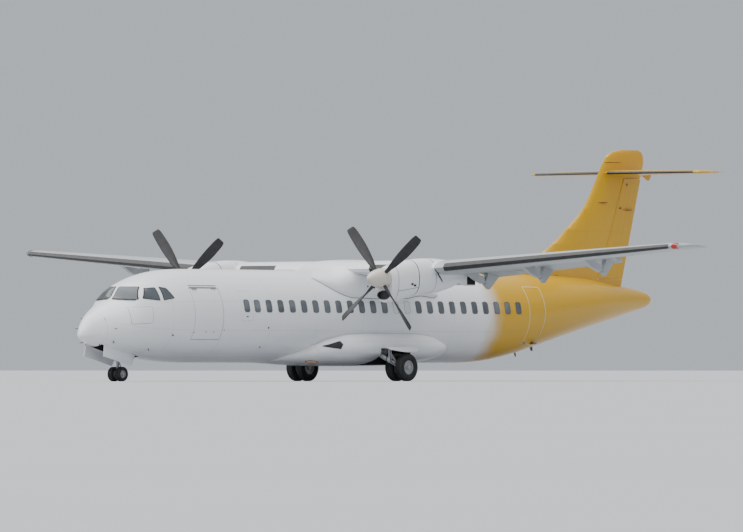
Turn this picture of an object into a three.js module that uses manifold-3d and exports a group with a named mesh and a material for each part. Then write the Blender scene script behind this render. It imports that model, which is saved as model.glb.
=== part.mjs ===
// Twin-turboprop regional airliner with a high wing, a T tail and twin-wheel landing gear.
// Millimetres. Shapes are drawn in stations: x = -station, y to port, z up from the fuselage
// centreline. The whole group is then set on its wheels, nose towards +X.

import * as THREE from 'three';
import { mergeVertices } from 'three/addons/utils/BufferGeometryUtils.js';
import Module from 'manifold-3d';

const wasm = await Module();
wasm.setup();

// Driving dimensions
const NOSE_TIP = 45;
const TAIL_END = 27210;
const CENTRELINE_HEIGHT = 2000;
const FUSELAGE_RADIUS = 1432.5;
const SEAM = 0.3;
const CLEARANCE = 12;

const WING = { z: 1460, semiSpan: 13525, breakY: 4600, rootChord: 2626, tipChord: 1590,
  rootLead: 11080, tipLead: 11830, dihedral: 4, rootThickness: 0.18, tipThickness: 0.13,
  camber: 0.02, incidence: 1.5 };
const NACELLE_Y = 4050;
const PROP = { station: 9200, z: 1150, radius: 1980, blades: 4, phase: 39, rear: 175 };
const TAIL = { z: 4700, semiSpan: 3655, rootLead: 24780, tipLead: 25400,
  rootTrail: 26660, tipTrail: 26530, thickness: 0.10, hingeRoot: 26080, hingeTip: 26110 };
const NOSE_GEAR = { station: 1750, tyreRadius: 225, tyreWidth: 190, offset: 150, rimRadius: 115 };
const MAIN_GEAR = { station: 12520, y: 2050, tyreRadius: 432, tyreWidth: 254, offset: 210,
  rimRadius: 215 };

// Colours and surface values
const paint = (name, color, roughness, metalness = 0) =>
  new THREE.MeshStandardMaterial({ name, color, roughness, metalness });
const MATERIAL = {
  white: paint('white paint', 0xe4e6e8, 0.35),
  yellow: paint('yellow paint', 0xd9a414, 0.4),
  spinner: paint('spinner paint', 0xd5cfc4, 0.35),
  blade: paint('black blade paint', 0x1b1c1f, 0.5),
  glass: paint('cockpit glass', 0x2c3238, 0.1),
  engine: paint('engine casing', 0x777a7c, 0.5, 0.8),
  strut: paint('grey gear paint', 0xb6b9bb, 0.45, 0.3),
  rim: paint('wheel rim', 0xc2c4c5, 0.4, 0.4),
  tyre: paint('tyre rubber', 0x1a1a1b, 0.9),
};

const aircraft = new THREE.Group();
aircraft.position.set((NOSE_TIP + TAIL_END) / 2, 0, CENTRELINE_HEIGHT);

const mix = THREE.MathUtils.lerp;

// Closed mesh through a row of outlines that have the same number of points.
// Each quad is split on its shorter diagonal, so that mirrored outlines give mirrored faces.
function loft(rings) {
  const count = rings[0].length;
  const points = rings.flat();
  const index = [];
  for (let r = 0; r + 1 < rings.length; r++) {
    for (let i = 0; i < count; i++) {
      const a = r * count + i;
      const b = r * count + ((i + 1) % count);
      const [c, d] = [a + count, b + count];
      const straight = points[a].distanceTo(points[d]) <= points[b].distanceTo(points[c]) + 0.01;
      index.push(...(straight ? [a, b, d, a, d, c] : [a, b, c, b, d, c]));
    }
  }
  const last = (rings.length - 1) * count;
  for (const [a, b, c] of capTriangles(rings[0])) index.push(c, b, a);
  for (const [a, b, c] of capTriangles(rings.at(-1))) index.push(last + a, last + b, last + c);
  const geometry = new THREE.BufferGeometry().setFromPoints(points);
  geometry.setIndex(index);
  return bareGeometry(geometry);
}

// Flat cap of one outline, with the same turn as the outline itself
function capTriangles(ring) {
  const normal = new THREE.Vector3();
  ring.forEach((p, i) => normal.add(new THREE.Vector3().crossVectors(p, ring[(i + 1) % ring.length])));
  const facing = normal.toArray().map(Math.abs);
  const flat = facing.indexOf(Math.max(...facing));
  const axes = [0, 1, 2].filter((axis) => axis !== flat);
  const outline = ring.map((p) => new THREE.Vector2(p.getComponent(axes[0]), p.getComponent(axes[1])));
  const turned = THREE.ShapeUtils.isClockWise(outline);
  return THREE.ShapeUtils.triangulateShape(outline, []).map(([a, b, c]) => {
    const area = (outline[b].x - outline[a].x) * (outline[c].y - outline[a].y)
      - (outline[c].x - outline[a].x) * (outline[b].y - outline[a].y);
    return area < 0 === turned ? [a, b, c] : [c, b, a];
  });
}

// Six times the signed volume: negative where the faces point inwards
function signedVolume(position, index) {
  const corner = [new THREE.Vector3(), new THREE.Vector3(), new THREE.Vector3()];
  let volume = 0;
  for (let i = 0; i < index.length; i += 3) {
    corner.forEach((point, k) => point.fromBufferAttribute(position, index[i + k]));
    volume += corner[0].dot(corner[1].clone().cross(corner[2]));
  }
  return volume;
}

function flipped(index) {
  const out = [];
  for (let i = 0; i < index.length; i += 3) out.push(index[i], index[i + 2], index[i + 1]);
  return out;
}

// Geometry with shared corners and nothing but positions, its faces turned outwards
function bareGeometry(geometry) {
  const copy = geometry.clone();
  copy.deleteAttribute('normal');
  copy.deleteAttribute('uv');
  const bare = mergeVertices(copy, 0.001);
  const index = Array.from(bare.index.array);
  if (signedVolume(bare.attributes.position, index) < 0) bare.setIndex(flipped(index));
  return bare;
}

// Port piece turned into its starboard twin
const mirrored = (geometry) => bareGeometry(geometry.clone().scale(1, -1, 1));

function solid(geometry) {
  const bare = bareGeometry(geometry);
  return new wasm.Manifold(new wasm.Mesh({
    numProp: 3,
    vertProperties: new Float32Array(bare.attributes.position.array),
    triVerts: new Uint32Array(bare.index.array),
  }));
}

// The largest body of a cut solid, as a geometry
function geometryOf(shape) {
  const bodies = shape.decompose().sort((a, b) => b.volume() - a.volume());
  const mesh = bodies[0].getMesh();
  const geometry = new THREE.BufferGeometry();
  geometry.setAttribute('position', new THREE.BufferAttribute(mesh.vertProperties, 3));
  geometry.setIndex(new THREE.BufferAttribute(mesh.triVerts, 1));
  return geometry;
}

function join(first, ...others) {
  return geometryOf(others.reduce((sum, piece) => sum.add(solid(piece)), solid(first)));
}

function cut(first, ...others) {
  return geometryOf(others.reduce((rest, piece) => rest.subtract(solid(piece)), solid(first)));
}

function common(first, second) {
  return geometryOf(solid(first).intersect(solid(second)));
}

function add(name, geometry, material, parent = aircraft) {
  const bare = bareGeometry(geometry);
  bare.computeVertexNormals();
  const mesh = new THREE.Mesh(bare, material);
  mesh.name = name;
  parent.add(mesh);
  return mesh;
}

// Block between two stations, two sides and two heights
function block(stations, sides, heights) {
  const size = [stations[1] - stations[0], sides[1] - sides[0], heights[1] - heights[0]];
  return new THREE.BoxGeometry(...size).translate(
    -(stations[0] + stations[1]) / 2, (sides[0] + sides[1]) / 2, (heights[0] + heights[1]) / 2);
}

// Round bar from one point to another
function bar(from, to, radius, sides = 12) {
  const span = new THREE.Vector3().subVectors(to, from);
  const upright = new THREE.Vector3(0, 1, 0);
  const turn = new THREE.Quaternion().setFromUnitVectors(upright, span.clone().normalize());
  const middle = new THREE.Vector3().addVectors(from, to).multiplyScalar(0.5);
  return new THREE.CylinderGeometry(radius, radius, span.length(), sides)
    .applyQuaternion(turn).translate(middle.x, middle.y, middle.z);
}

const at = (station, y, z) => new THREE.Vector3(-station, y, z);

// Radius of a faceted hole in which a pin of that radius turns with the seam's play
const holeRadius = (radius, sides) => (radius + SEAM) / Math.cos(Math.PI / sides);

// Oval cross-section; grow moves its skin outwards
function oval({ station, half, top, bottom, waist, power = 2 }, grow = 0, count = 32) {
  const round = (value) => Math.sign(value) * Math.abs(value) ** (2 / power);
  return Array.from({ length: count }, (_, i) => {
    const angle = (2 * Math.PI * (i + 0.5)) / count;
    const rise = Math.sin(angle) > 0 ? top + grow - waist : waist - bottom + grow;
    return at(station, (half + grow) * round(Math.cos(angle)), waist + rise * round(Math.sin(angle)));
  });
}

const rowsOf = (names, table) =>
  table.map((row) => Object.fromEntries(names.map((name, i) => [name, row[i]])));

// Straight-line value of every column between two rows of a table
function rowAt(rows, key, value) {
  const next = Math.max(1, rows.findIndex((row) => row[key] >= value));
  const [a, b] = [rows[next - 1], rows[next]];
  const t = (value - a[key]) / (b[key] - a[key]);
  return Object.fromEntries(Object.keys(a).map((name) => [name, a[name] + (b[name] - a[name]) * t]));
}

// Rows of a table between two limits, with a row worked out at each limit
function rowsBetween(rows, key, from, to) {
  const inside = rows.filter((row) => row[key] > from + 1 && row[key] < to - 1);
  return [rowAt(rows, key, from), ...inside, rowAt(rows, key, to)];
}

// Fuselage
const FUSELAGE = rowsOf(['station', 'half', 'top', 'bottom', 'waist'], [
  [NOSE_TIP, 30, -588, -650, -618],
  [90, 115, -470, -690, -595],
  [140, 175, -380, -720, -585],
  [220, 245, -280, -760, -570],
  [350, 345, -120, -820, -545],
  [530, 485, 25, -885, -510],
  [760, 655, 160, -960, -465],
  [1020, 820, 305, -1030, -415],
  [1280, 960, 430, -1095, -360],
  [1480, 1045, 545, -1140, -310],
  [1730, 1130, 850, -1190, -250],
  [2150, 1230, 1060, -1250, -180],
  [2700, 1325, 1235, -1320, -110],
  [3300, 1390, 1350, -1380, -50],
  [4000, 1422, 1415, -1420, -15],
  [4700, FUSELAGE_RADIUS, FUSELAGE_RADIUS, -FUSELAGE_RADIUS, 0],
  [17300, FUSELAGE_RADIUS, FUSELAGE_RADIUS, -FUSELAGE_RADIUS, 0],
  [18500, 1425, 1430, -1375, 25],
  [19700, 1385, 1425, -1205, 110],
  [21000, 1285, 1405, -920, 240],
  [22400, 1120, 1365, -600, 380],
  [23800, 915, 1290, -290, 500],
  [25200, 620, 1100, 5, 560],
  [26300, 375, 965, 245, 605],
  [26900, 240, 850, 375, 610],
  [27110, 140, 750, 470, 610],
  [TAIL_END, 45, 655, 565, 610],
]);
const SECTION_ENDS = { noseCone: 620, front: 5600, middle: 17300, rear: 21500, tail: TAIL_END };

function tube(from, to, grow = 0) {
  return loft(rowsBetween(FUSELAGE, 'station', from, to).map((row) => oval(row, grow)));
}

// Door-sized patch of the fuselage skin, and the deeper hole behind it
function skinPatch(stations, heights, side, depth, grow = 0) {
  const margin = 400;
  const [from, to] = [stations[0] - margin, stations[1] + margin];
  const reach = 2 * FUSELAGE_RADIUS;
  const sides = side > 0 ? [100, reach] : [-reach, -100];
  const window = block([stations[0] - grow, stations[1] + grow], sides,
    [heights[0] - grow, heights[1] + grow]);
  const shell = solid(tube(from, to, grow > 0 ? 50 : 0)).subtract(solid(tube(from - 10, to + 10, -depth)));
  return geometryOf(shell.intersect(solid(window)));
}

const DOORS = {
  passenger: { stations: [19550, 20300], heights: [-800, 950], side: 1, thickness: 90, hole: 1200,
    hinge: { y: 1035, z: -800, rods: [[19560, 19720, 90], [20120, 20280, 235]], radius: 16, lug: -1,
      knuckle: 26 } },
  cargo: { stations: [3700, 4950], heights: [-720, 820], side: 1, thickness: 90, hole: 1100,
    hinge: { y: 1180, z: 820, rods: [[3800, 4000, 45], [4650, 4850, 45]], radius: 18, lug: 1 } },
  service: { stations: [19800, 20410], heights: [-600, 620], side: -1, thickness: 60 },
  exitLeft: { stations: [5800, 6310], heights: [-150, 760], side: 1, thickness: 60 },
  exitRight: { stations: [5800, 6310], heights: [-150, 760], side: -1, thickness: 60 },
};

// Room behind a hinged door: a straight-sided hole from the skin inwards
function doorway({ stations, heights, hole }) {
  const reach = 2 * FUSELAGE_RADIUS;
  return block([stations[0] - CLEARANCE, stations[1] + CLEARANCE], [FUSELAGE_RADIUS - hole, reach],
    [heights[0] - CLEARANCE, heights[1] + CLEARANCE]);
}

// Rods on a door's hinge line, each held at its ends by lugs of the fuselage
function hingeRods({ hinge: { y, z, rods, radius, lug } }) {
  const heights = [z + lug * 5, z + lug * 40].sort((a, b) => a - b);
  return rods.flatMap(([from, to, arm]) => [bar(at(from, y, z), at(to, y, z), radius, 16),
    block([from, from + 30], [y - arm, y], heights), block([to - 30, to], [y - arm, y], heights)]);
}

// Door panel with a seat for each rod, or with a knuckle on an arm where the skin lies further in
function hingedPanel(door, ...inside) {
  const { y, z, rods, radius, knuckle = 0 } = door.hinge;
  const knuckles = rods.filter(() => knuckle > 0).flatMap(([from, to, arm]) => [
    bar(at(from + 37, y, z), at(to - 37, y, z), knuckle, 16),
    block([from + 37, to - 37], [y - arm, y], [z, z + knuckle])]);
  const seats = rods.map(([from, to]) =>
    bar(at(from - 10, y, z), at(to + 10, y, z), holeRadius(radius, 16), 16));
  return cut(join(panel(door), ...knuckles, ...inside), ...seats);
}

// Shallow seat of a panel that has no hinge
const seat = ({ stations, heights, side, thickness }) =>
  skinPatch(stations, heights, side, thickness + SEAM, SEAM);
const panel = ({ stations, heights, side, thickness }) => skinPatch(stations, heights, side, thickness);

// Cockpit glazing: one band round the nose, thicker than the panes in it
const GLAZING = { depth: 30, outline: [[1380, 500], [1500, 505], [1800, 455], [2400, 425], [2750, 460],
  [3020, 700], [2950, 750], [2450, 745], [2050, 800], [1760, 880], [1600, 900], [1380, 900]] };

function glazingBand(grow) {
  const outline = GLAZING.outline.map(([station, z]) => new THREE.Vector2(-station, z));
  const box = new THREE.Box2().setFromPoints(outline);
  const middle = box.getCenter(new THREE.Vector2());
  const size = box.getSize(new THREE.Vector2());
  const wider = size.clone().addScalar(4 * grow).divide(size);
  const shape = new THREE.Shape(outline.map((p) => p.clone().sub(middle).multiply(wider).add(middle)));
  const width = 4 * FUSELAGE_RADIUS;
  const prism = new THREE.ExtrudeGeometry(shape, { depth: width, bevelEnabled: false });
  prism.rotateX(Math.PI / 2).translate(0, width / 2, 0);
  const skin = solid(tube(700, 3600, grow > 0 ? 50 : 0));
  const inner = solid(tube(690, 3610, -GLAZING.depth - grow));
  return geometryOf(skin.subtract(inner).intersect(solid(prism)));
}

const NOSE_BAY = { stations: [700, 2350], half: 320, roof: -780 };
const noseBay = block(NOSE_BAY.stations, [-NOSE_BAY.half, NOSE_BAY.half], [-2000, NOSE_BAY.roof]);

// Wing sections
const TRAILING_HALF = 3;

// A wing profile: gives the skin's point at a fraction of the chord, u aft and v up, on side 1 or -1.
// It is turned about its quarter-chord point by its incidence.
function profileOf({ chord, thickness, camber = 0, incidence = 0, grow = 0 }) {
  const tilt = THREE.MathUtils.degToRad(-incidence);
  const at = (x, side) => {
    const half = 5 * thickness * (0.2969 * Math.sqrt(x) - 0.126 * x - 0.3516 * x ** 2 + 0.2843 * x ** 3
      - 0.1036 * x ** 4) * chord + TRAILING_HALF * x + (x === 0 ? 0 : grow);
    const v = camber * chord * 4 * x * (1 - x) + side * half;
    const u = (x - 0.25) * chord + (x === 0 ? -2 * grow : 0) + (x === 1 ? grow : 0);
    return new THREE.Vector2(u * Math.cos(tilt) - v * Math.sin(tilt) + chord / 4,
      u * Math.sin(tilt) + v * Math.cos(tilt));
  };
  return { chord, at };
}

// Closed outline of a whole profile, from the trailing edge round the nose and back
function wholeOutline(profile, steps = 10) {
  const fractions = Array.from({ length: steps + 1 }, (_, i) => (1 - Math.cos((Math.PI * i) / steps)) / 2);
  return [...fractions.toReversed().map((x) => profile.at(x, 1)),
    ...fractions.slice(1).map((x) => profile.at(x, -1))];
}

// Closed outline of the part aft of a hinge, with a round nose in front of it
function rearOutline(profile, hinge, nose, steps = 4) {
  const from = hinge / profile.chord;
  const fractions = Array.from({ length: steps + 1 }, (_, i) => from + ((1 - from) * i) / steps);
  const [high, low] = [profile.at(from, 1), profile.at(from, -1)];
  const middle = high.clone().add(low).multiplyScalar(0.5);
  const half = high.clone().sub(low).multiplyScalar(0.5);
  const arc = [1, 2, 3, 4].map((k) => {
    const angle = (Math.PI * k) / 5;
    const ahead = new THREE.Vector2(-nose * Math.sin(angle), 0);
    return middle.clone().addScaledVector(half, Math.cos(angle)).add(ahead);
  });
  return [...fractions.toReversed().map((x) => profile.at(x, 1)), ...arc,
    ...fractions.map((x) => profile.at(x, -1))];
}

// Wing plan: leading edge, chord and thickness at a distance out from the centre
function wingAt(y) {
  const t = Math.max(0, (Math.abs(y) - WING.breakY) / (WING.semiSpan - WING.breakY));
  return { lead: mix(WING.rootLead, WING.tipLead, t), chord: mix(WING.rootChord, WING.tipChord, t),
    thickness: mix(WING.rootThickness, WING.tipThickness, t) };
}

const DIHEDRAL = THREE.MathUtils.degToRad(WING.dihedral);
const rise = (y) => Math.max(0, Math.abs(y) - WING.breakY) * Math.tan(DIHEDRAL);

const wingSection = (y) => ({ ...wingAt(y), camber: WING.camber, incidence: WING.incidence });

function wingRing(y, grow = 0) {
  return wholeOutline(profileOf({ ...wingSection(y), grow }))
    .map((p) => at(wingAt(y).lead + p.x, y, WING.z + rise(y) + p.y));
}

function wingRearRing(y, hinge, nose) {
  const { lead } = wingAt(y);
  return rearOutline(profileOf(wingSection(y)), hinge - lead, nose)
    .map((p) => at(lead + p.x, y, WING.z + rise(y) + p.y));
}

// Rounded wing tip: chords that shrink back from the leading edge
function tipRing(y, shift, shrink) {
  const { lead, chord, thickness } = wingAt(y);
  const short = { chord: chord - shift, thickness: (thickness * chord * shrink) / (chord - shift) };
  return wholeOutline(profileOf({ ...wingSection(y), ...short }))
    .map((p) => at(lead + shift + p.x, y, WING.z + rise(y) + p.y));
}

// Control surfaces of the wing: flaps on a pivot below, ailerons on a hinge in their nose
const FLAP = { nose: 12985, noseLength: 45, cove: 12915, pivotStation: 13130, pivotDrop: 420, angle: 20 };
const AILERON = { hinge: 13000, noseLength: 48, cove: 12930, from: 10110, to: 13180 };
const FLAPS = {
  inner: { from: 1445, to: 3560, tracks: [2840] },
  outer: { from: WING.breakY + 25, to: 10050, tracks: [4870, 7120, 9570] },
};
const TRACK = { width: 150, lead: 12150, front: 13095, rear: 13176, depth: 470 };
const TRACK_HINGE = { cheek: 38, slot: 42, tongueHalf: 30, tongue: 30, rod: 16 };

function flapGeometry({ from, to, tracks }) {
  const body = loft([from, to].map((y) => wingRearRing(y, FLAP.nose, FLAP.noseLength)));
  const wedges = tracks.map((y) => {
    const trail = wingAt(y).lead + wingAt(y).chord - 15;
    const keel = -TRACK.depth - 0.17 * (trail - TRACK.rear);
    return trackWedge(y, [[TRACK.rear, -30], [TRACK.rear, -TRACK.depth], [mix(TRACK.rear, trail, 0.46), keel],
      [trail, -45], [TRACK.rear + 300, 0]]);
  });
  const tongues = tracks.map((y) => flapTongue(y));
  const rodHoles = tracks.map((y) => alongPivot(y, TRACK.width, holeRadius(TRACK_HINGE.rod, 16), 16));
  return cut(join(body, ...wedges, ...tongues), ...rodHoles);
}

// Wedge-shaped fairing over a flap track, drawn as station and height from the chord plane
function trackWedge(y, outline) {
  const base = WING.z + rise(y);
  const shape = new THREE.Shape(outline.map(([station, z]) => new THREE.Vector2(-station, base + z)));
  return new THREE.ExtrudeGeometry(shape, { depth: TRACK.width, bevelEnabled: false })
    .rotateX(Math.PI / 2).translate(0, y + TRACK.width / 2, 0);
}

// Point on the flap pivot line, and a round bar along that line
const flapPivot = (y) => at(FLAP.pivotStation, y, WING.z + rise(y) - FLAP.pivotDrop);

function alongPivot(y, length, radius, sides) {
  const slope = y > WING.breakY ? DIHEDRAL : 0;
  const half = new THREE.Vector3(0, Math.cos(slope), Math.sin(slope)).multiplyScalar(length / 2);
  return bar(flapPivot(y).sub(half), flapPivot(y).add(half), radius, sides);
}

// Block round the pivot line, from one station to another
function pivotBlock(y, stations, half, height) {
  const { z } = flapPivot(y);
  return block(stations, [y - half, y + half], [z - height, z + height]);
}

// Tongue of the flap that turns on the rod, and the forked end of the fixed track that holds the rod
function flapTongue(y) {
  const { tongue, tongueHalf } = TRACK_HINGE;
  return join(alongPivot(y, 2 * tongueHalf, tongue, 16),
    pivotBlock(y, [FLAP.pivotStation, TRACK.rear + 40], tongueHalf, 24));
}

function fixedTrack(y) {
  const { cheek, slot, rod } = TRACK_HINGE;
  const wedge = trackWedge(y, [[TRACK.lead, -60], [TRACK.lead + 500, -330],
    [TRACK.front - 60, -TRACK.depth], [TRACK.front, -TRACK.depth + 40], [TRACK.front, -230],
    [FLAP.cove - 60, -200], [FLAP.cove - 120, -20]]);
  const fork = join(wedge, alongPivot(y, TRACK.width - 10, cheek, 20),
    pivotBlock(y, [TRACK.front - 60, FLAP.pivotStation], TRACK.width / 2 - 5, 26));
  return join(cut(fork, pivotBlock(y, [TRACK.front - 50, FLAP.pivotStation + 60], slot, 80)),
    alongPivot(y, 2 * slot + 20, rod, 16));
}

// Hinge pin that stands out of the end of a moving panel, and the hole for it in the fixed part
const PIN = { buried: 30, reach: 28, sides: 16 };

function hingePin(end, outward, radius) {
  const way = outward.clone().normalize();
  const from = end.clone().addScaledVector(way, -PIN.buried);
  const tip = end.clone().addScaledVector(way, CLEARANCE + PIN.reach);
  const bottom = tip.clone().addScaledVector(way, SEAM);
  const wide = holeRadius(radius, PIN.sides);
  return { pin: bar(from, tip, radius, PIN.sides), hole: bar(from, bottom, wide, PIN.sides) };
}

// Pins at both ends of a hinge line
function hingePins(near, far, radii) {
  const way = new THREE.Vector3().subVectors(far, near);
  return [hingePin(near, way.clone().negate(), radii[0]), hingePin(far, way, radii[1])];
}

function cove(from, to) {
  return block([FLAP.cove, 15000], [from - CLEARANCE, to + CLEARANCE], [WING.z - 190, WING.z + 1500]);
}

// Fairings between wing, belly and fuselage
const WING_FAIRING = rowsOf(['station', 'half', 'top', 'bottom', 'waist', 'power'], [
  [9600, 690, 1330, 1150, 1250, 2],
  [9840, 935, 1340, 850, 1110, 2],
  [10180, 1135, 1400, 550, 950, 2.1],
  [10500, 1250, 1450, 300, 850, 2.2],
  [10800, 1330, 1520, 150, 900, 2.4],
  [11080, 1385, 1640, 60, 1000, 2.5],
  [11500, 1400, 1750, 0, 1120, 2.6],
  [12390, 1410, 1780, -50, 1150, 2.6],
  [13000, 1410, 1770, -50, 1150, 2.6],
  [13660, 1410, 1700, 0, 1130, 2.5],
  [13950, 1405, 1660, 50, 1080, 2.2],
  [14300, 1400, 1600, 80, 980, 1.8],
  [14600, 1390, 1510, 100, 850, 1.65],
  [14900, 1365, 1450, 150, 710, 1.6],
  [15200, 1255, 1360, 400, 690, 1.6],
]);
const BELLY_FAIRING = rowsOf(['station', 'half', 'top', 'bottom', 'waist', 'power'], [
  [8050, 250, -1300, -1440, -1370, 2],
  [8500, 700, -1080, -1460, -1270, 2],
  [9100, 1150, -790, -1490, -1160, 2],
  [9800, 1560, -470, -1510, -1080, 2.1],
  [10700, 1790, -330, -1530, -1050, 2.2],
  [11800, 1850, -300, -1540, -1050, 2.2],
  [13400, 1850, -300, -1530, -1050, 2.2],
  [14300, 1810, -330, -1465, -1000, 2.1],
  [14900, 1690, -430, -1430, -960, 2],
  [15350, 1480, -600, -1395, -950, 1.9],
  [15650, 1200, -820, -1340, -980, 1.9],
]);
const GEAR_WELL = { stations: [11800, 13200], sides: [750, 2300], roof: -980 };

const ovalLoft = (rows, grow = 0, count = 32) => loft(rows.map((row) => oval(row, grow, count)));
const wholeTube = tube(600, TAIL_END - 100, SEAM);

function wingEnvelope() {
  return loft([-WING.breakY, WING.breakY].map((y) => wingRing(y, SEAM)));
}

// Fin and tailplane
const FIN = rowsOf(['z', 'lead', 'trail', 'thick'], [
  [1000, 17900, 25730, 300],
  [1480, 18750, 25860, 310],
  [1850, 20900, 25970, 310],
  [2050, 21620, 26030, 310],
  [2400, 22300, 26130, 305],
  [2860, 22950, 26260, 300],
  [3560, 23830, 26460, 275],
  [5050, 24820, 26890, 220],
]);
const FIN_CAP = rowsOf(['z', 'lead', 'trail', 'thick'], [
  [5050 + SEAM, 24820, 26890, 220],
  [5240, 24990, 26870, 190],
  [5390, 25300, 26780, 130],
  [5460, 25700, 26600, 50],
]);
const RUDDER = { base: 1290, top: 4520, hingeBase: 24530, hingeTop: 25810, nose: 50, gap: 20, endGap: 24 };
const ELEVATOR = { from: 130, to: 3560, nose: 40, gap: 18 };

function hingeOfFin(z) {
  return mix(RUDDER.hingeBase, RUDDER.hingeTop, (z - RUDDER.base) / (RUDDER.top - RUDDER.base));
}

function finProfile({ lead, trail, thick }) {
  return profileOf({ chord: trail - lead, thickness: thick / (trail - lead) });
}

function finLoft(rows) {
  return loft(rows.map((row) => wholeOutline(finProfile(row)).map((p) => at(row.lead + p.x, p.y, row.z))));
}

function rudderGeometry() {
  return loft([RUDDER.base, RUDDER.top].map((z) => {
    const row = rowAt(FIN, 'z', z);
    return rearOutline(finProfile(row), hingeOfFin(z) - row.lead, RUDDER.nose)
      .map((p) => at(row.lead + p.x, p.y, z));
  }));
}

// Slab behind a slanted hinge line, used to cut the fixed surface away; climb lifts its far aft corner
function slabBehind(near, far, sides, reach, climb = 0) {
  const shape = new THREE.Shape([near, far, [far[0] + reach, far[1] + climb], [near[0] + reach, near[1]]]
    .map(([station, v]) => new THREE.Vector2(-station, v)));
  return new THREE.ExtrudeGeometry(shape, { depth: sides[1] - sides[0], bevelEnabled: false })
    .translate(0, 0, sides[0]);
}

const TAIL_TIP = rowsOf(['y', 'squeeze', 'shift'], [
  [3450, 1, 0],
  [3600, 0.75, 160],
  [TAIL.semiSpan, 0.3, 420],
]);
const tailMix = (a, b, y) => mix(a, b, Math.abs(y) / TAIL.semiSpan);

function tailProfile(y, { grow = 0, squeeze = 1, shift = 0 } = {}) {
  const lead = tailMix(TAIL.rootLead, TAIL.tipLead, y) + shift;
  const chord = tailMix(TAIL.rootTrail, TAIL.tipTrail, y) - lead;
  return { lead, profile: profileOf({ chord, thickness: TAIL.thickness * squeeze, grow }) };
}

function tailRing(y, options) {
  const { lead, profile } = tailProfile(y, options);
  return wholeOutline(profile).map((p) => at(lead + p.x, y, TAIL.z + p.y));
}

function elevatorRing(y) {
  const { lead, profile } = tailProfile(y);
  return rearOutline(profile, tailMix(TAIL.hingeRoot, TAIL.hingeTip, y) - lead, ELEVATOR.nose)
    .map((p) => at(lead + p.x, y, TAIL.z + p.y));
}

// Nacelle
const NACELLE = rowsOf(['station', 'half', 'top', 'bottom', 'waist', 'power'], [
  [9390, 330, 1465, 420, 1090, 2.4],
  [9600, 400, 1560, 410, 1090, 2.4],
  [10000, 460, 1670, 480, 1100, 2.4],
  [10400, 490, 1720, 590, 1110, 2.4],
  [10900, 510, 1770, 680, 1130, 2.5],
  [11300, 515, 1790, 705, 1150, 2.6],
  [11700, 510, 1780, 730, 1160, 2.5],
  [12200, 490, 1740, 850, 1190, 2.5],
  [12700, 440, 1650, 1010, 1230, 2.3],
  [13250, 350, 1480, 1130, 1290, 2.2],
]);

const COLLAR_RADIUS = 150;
const INTAKE = { station: 9380, depth: 500, half: 225, z: 640, height: 105, riser: 120 };
const ENGINE = { stations: [9480, 11050], radius: 310, z: 1100 };

// Flat-sided duct with an oval mouth, along the stations
function duct(stations, y, z, half, height) {
  const ends = stations.map((station) => oval({ station, half, top: z + height, bottom: z - height, waist: z,
    power: 3 }, 0, 20));
  return loft(ends).translate(0, y, 0);
}

// Engine as one plain block; grow gives the bay that holds it
function engineGeometry(y, grow = 0) {
  const [front, back] = ENGINE.stations;
  return bar(at(front - grow, y, ENGINE.z), at(back + grow, y, ENGINE.z), ENGINE.radius + 1.2 * grow, 16);
}

// Exhaust stub: a square pipe on the outboard flank, turned outwards, open at its rear
const EXHAUST = { station: 12840, y: 4390, z: 1100, turn: 20, half: 130, height: 140, length: 520, wall: 18 };

function exhaustBlock(from, to, half, height) {
  return block([from, to], [-half, half], [-height, height])
    .rotateZ(THREE.MathUtils.degToRad(-EXHAUST.turn)).translate(-EXHAUST.station, EXHAUST.y, EXHAUST.z);
}

// Nacelle: hollow round the engine, open at the intake, with a collar behind the propeller,
// cut to sit round the wing. The intake rises into the engine bay at its inner end.
function nacelleGeometry(wing) {
  const { station, depth, half, z, height, riser } = INTAKE;
  const body = ovalLoft(NACELLE, 0, 28).translate(0, NACELLE_Y, 0);
  const face = PROP.station + PROP.rear;
  const collar = bar(at(face + SEAM, NACELLE_Y, PROP.z), at(face + 55, NACELLE_Y, PROP.z), COLLAR_RADIUS, 24);
  const stub = exhaustBlock(-EXHAUST.length / 2, EXHAUST.length / 2, EXHAUST.half, EXHAUST.height);
  const bore = exhaustBlock(-EXHAUST.length / 4, EXHAUST.length, EXHAUST.half - EXHAUST.wall,
    EXHAUST.height - EXHAUST.wall);
  const intake = duct([station - 50, station + depth], NACELLE_Y, z, half, height);
  const rear = station + depth;
  const throat = block([rear - riser, rear], [NACELLE_Y - riser, NACELLE_Y + riser],
    [z, ENGINE.z - ENGINE.radius / 2]);
  return cut(join(body, collar, stub), wing, engineGeometry(NACELLE_Y, SEAM), intake, throat, bore);
}

// Propeller: four twisted blades in a drum behind the spinner
const BLADE = rowsOf(['radius', 'chord', 'thick', 'pitch'], [
  [150, 120, 0.9, 62],
  [420, 150, 0.7, 60],
  [700, 240, 0.24, 53],
  [1200, 315, 0.1, 42],
  [1750, 300, 0.065, 33],
  [1940, 250, 0.055, 30],
  [PROP.radius, 190, 0.05, 30],
]);

function bladeGeometry() {
  return loft(BLADE.map(({ radius, chord, thick, pitch }) => {
    const turn = THREE.MathUtils.degToRad(pitch);
    return wholeOutline(profileOf({ chord, thickness: thick }), 5).map((p) => {
      const along = p.x - chord * 0.4;
      return new THREE.Vector3(-along * Math.sin(turn) - p.y * Math.cos(turn),
        along * Math.cos(turn) - p.y * Math.sin(turn), radius);
    });
  }));
}

// Revolved shape along the propeller axis; the profile is radius and station from the disc
function spun(profile, sides) {
  return new THREE.LatheGeometry(profile.map(([radius, aft]) => new THREE.Vector2(radius, -aft)), sides)
    .rotateZ(-Math.PI / 2);
}

const DRUM_PROFILE = [[0, -170], [270, -170], [300, -60], [310, 60], [310, PROP.rear], [0, PROP.rear]];
const SPINNER_PROFILE = [[0, -560], [75, -530], [145, -455], [215, -330], [270, -170 - SEAM],
  [0, -170 - SEAM]];

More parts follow.
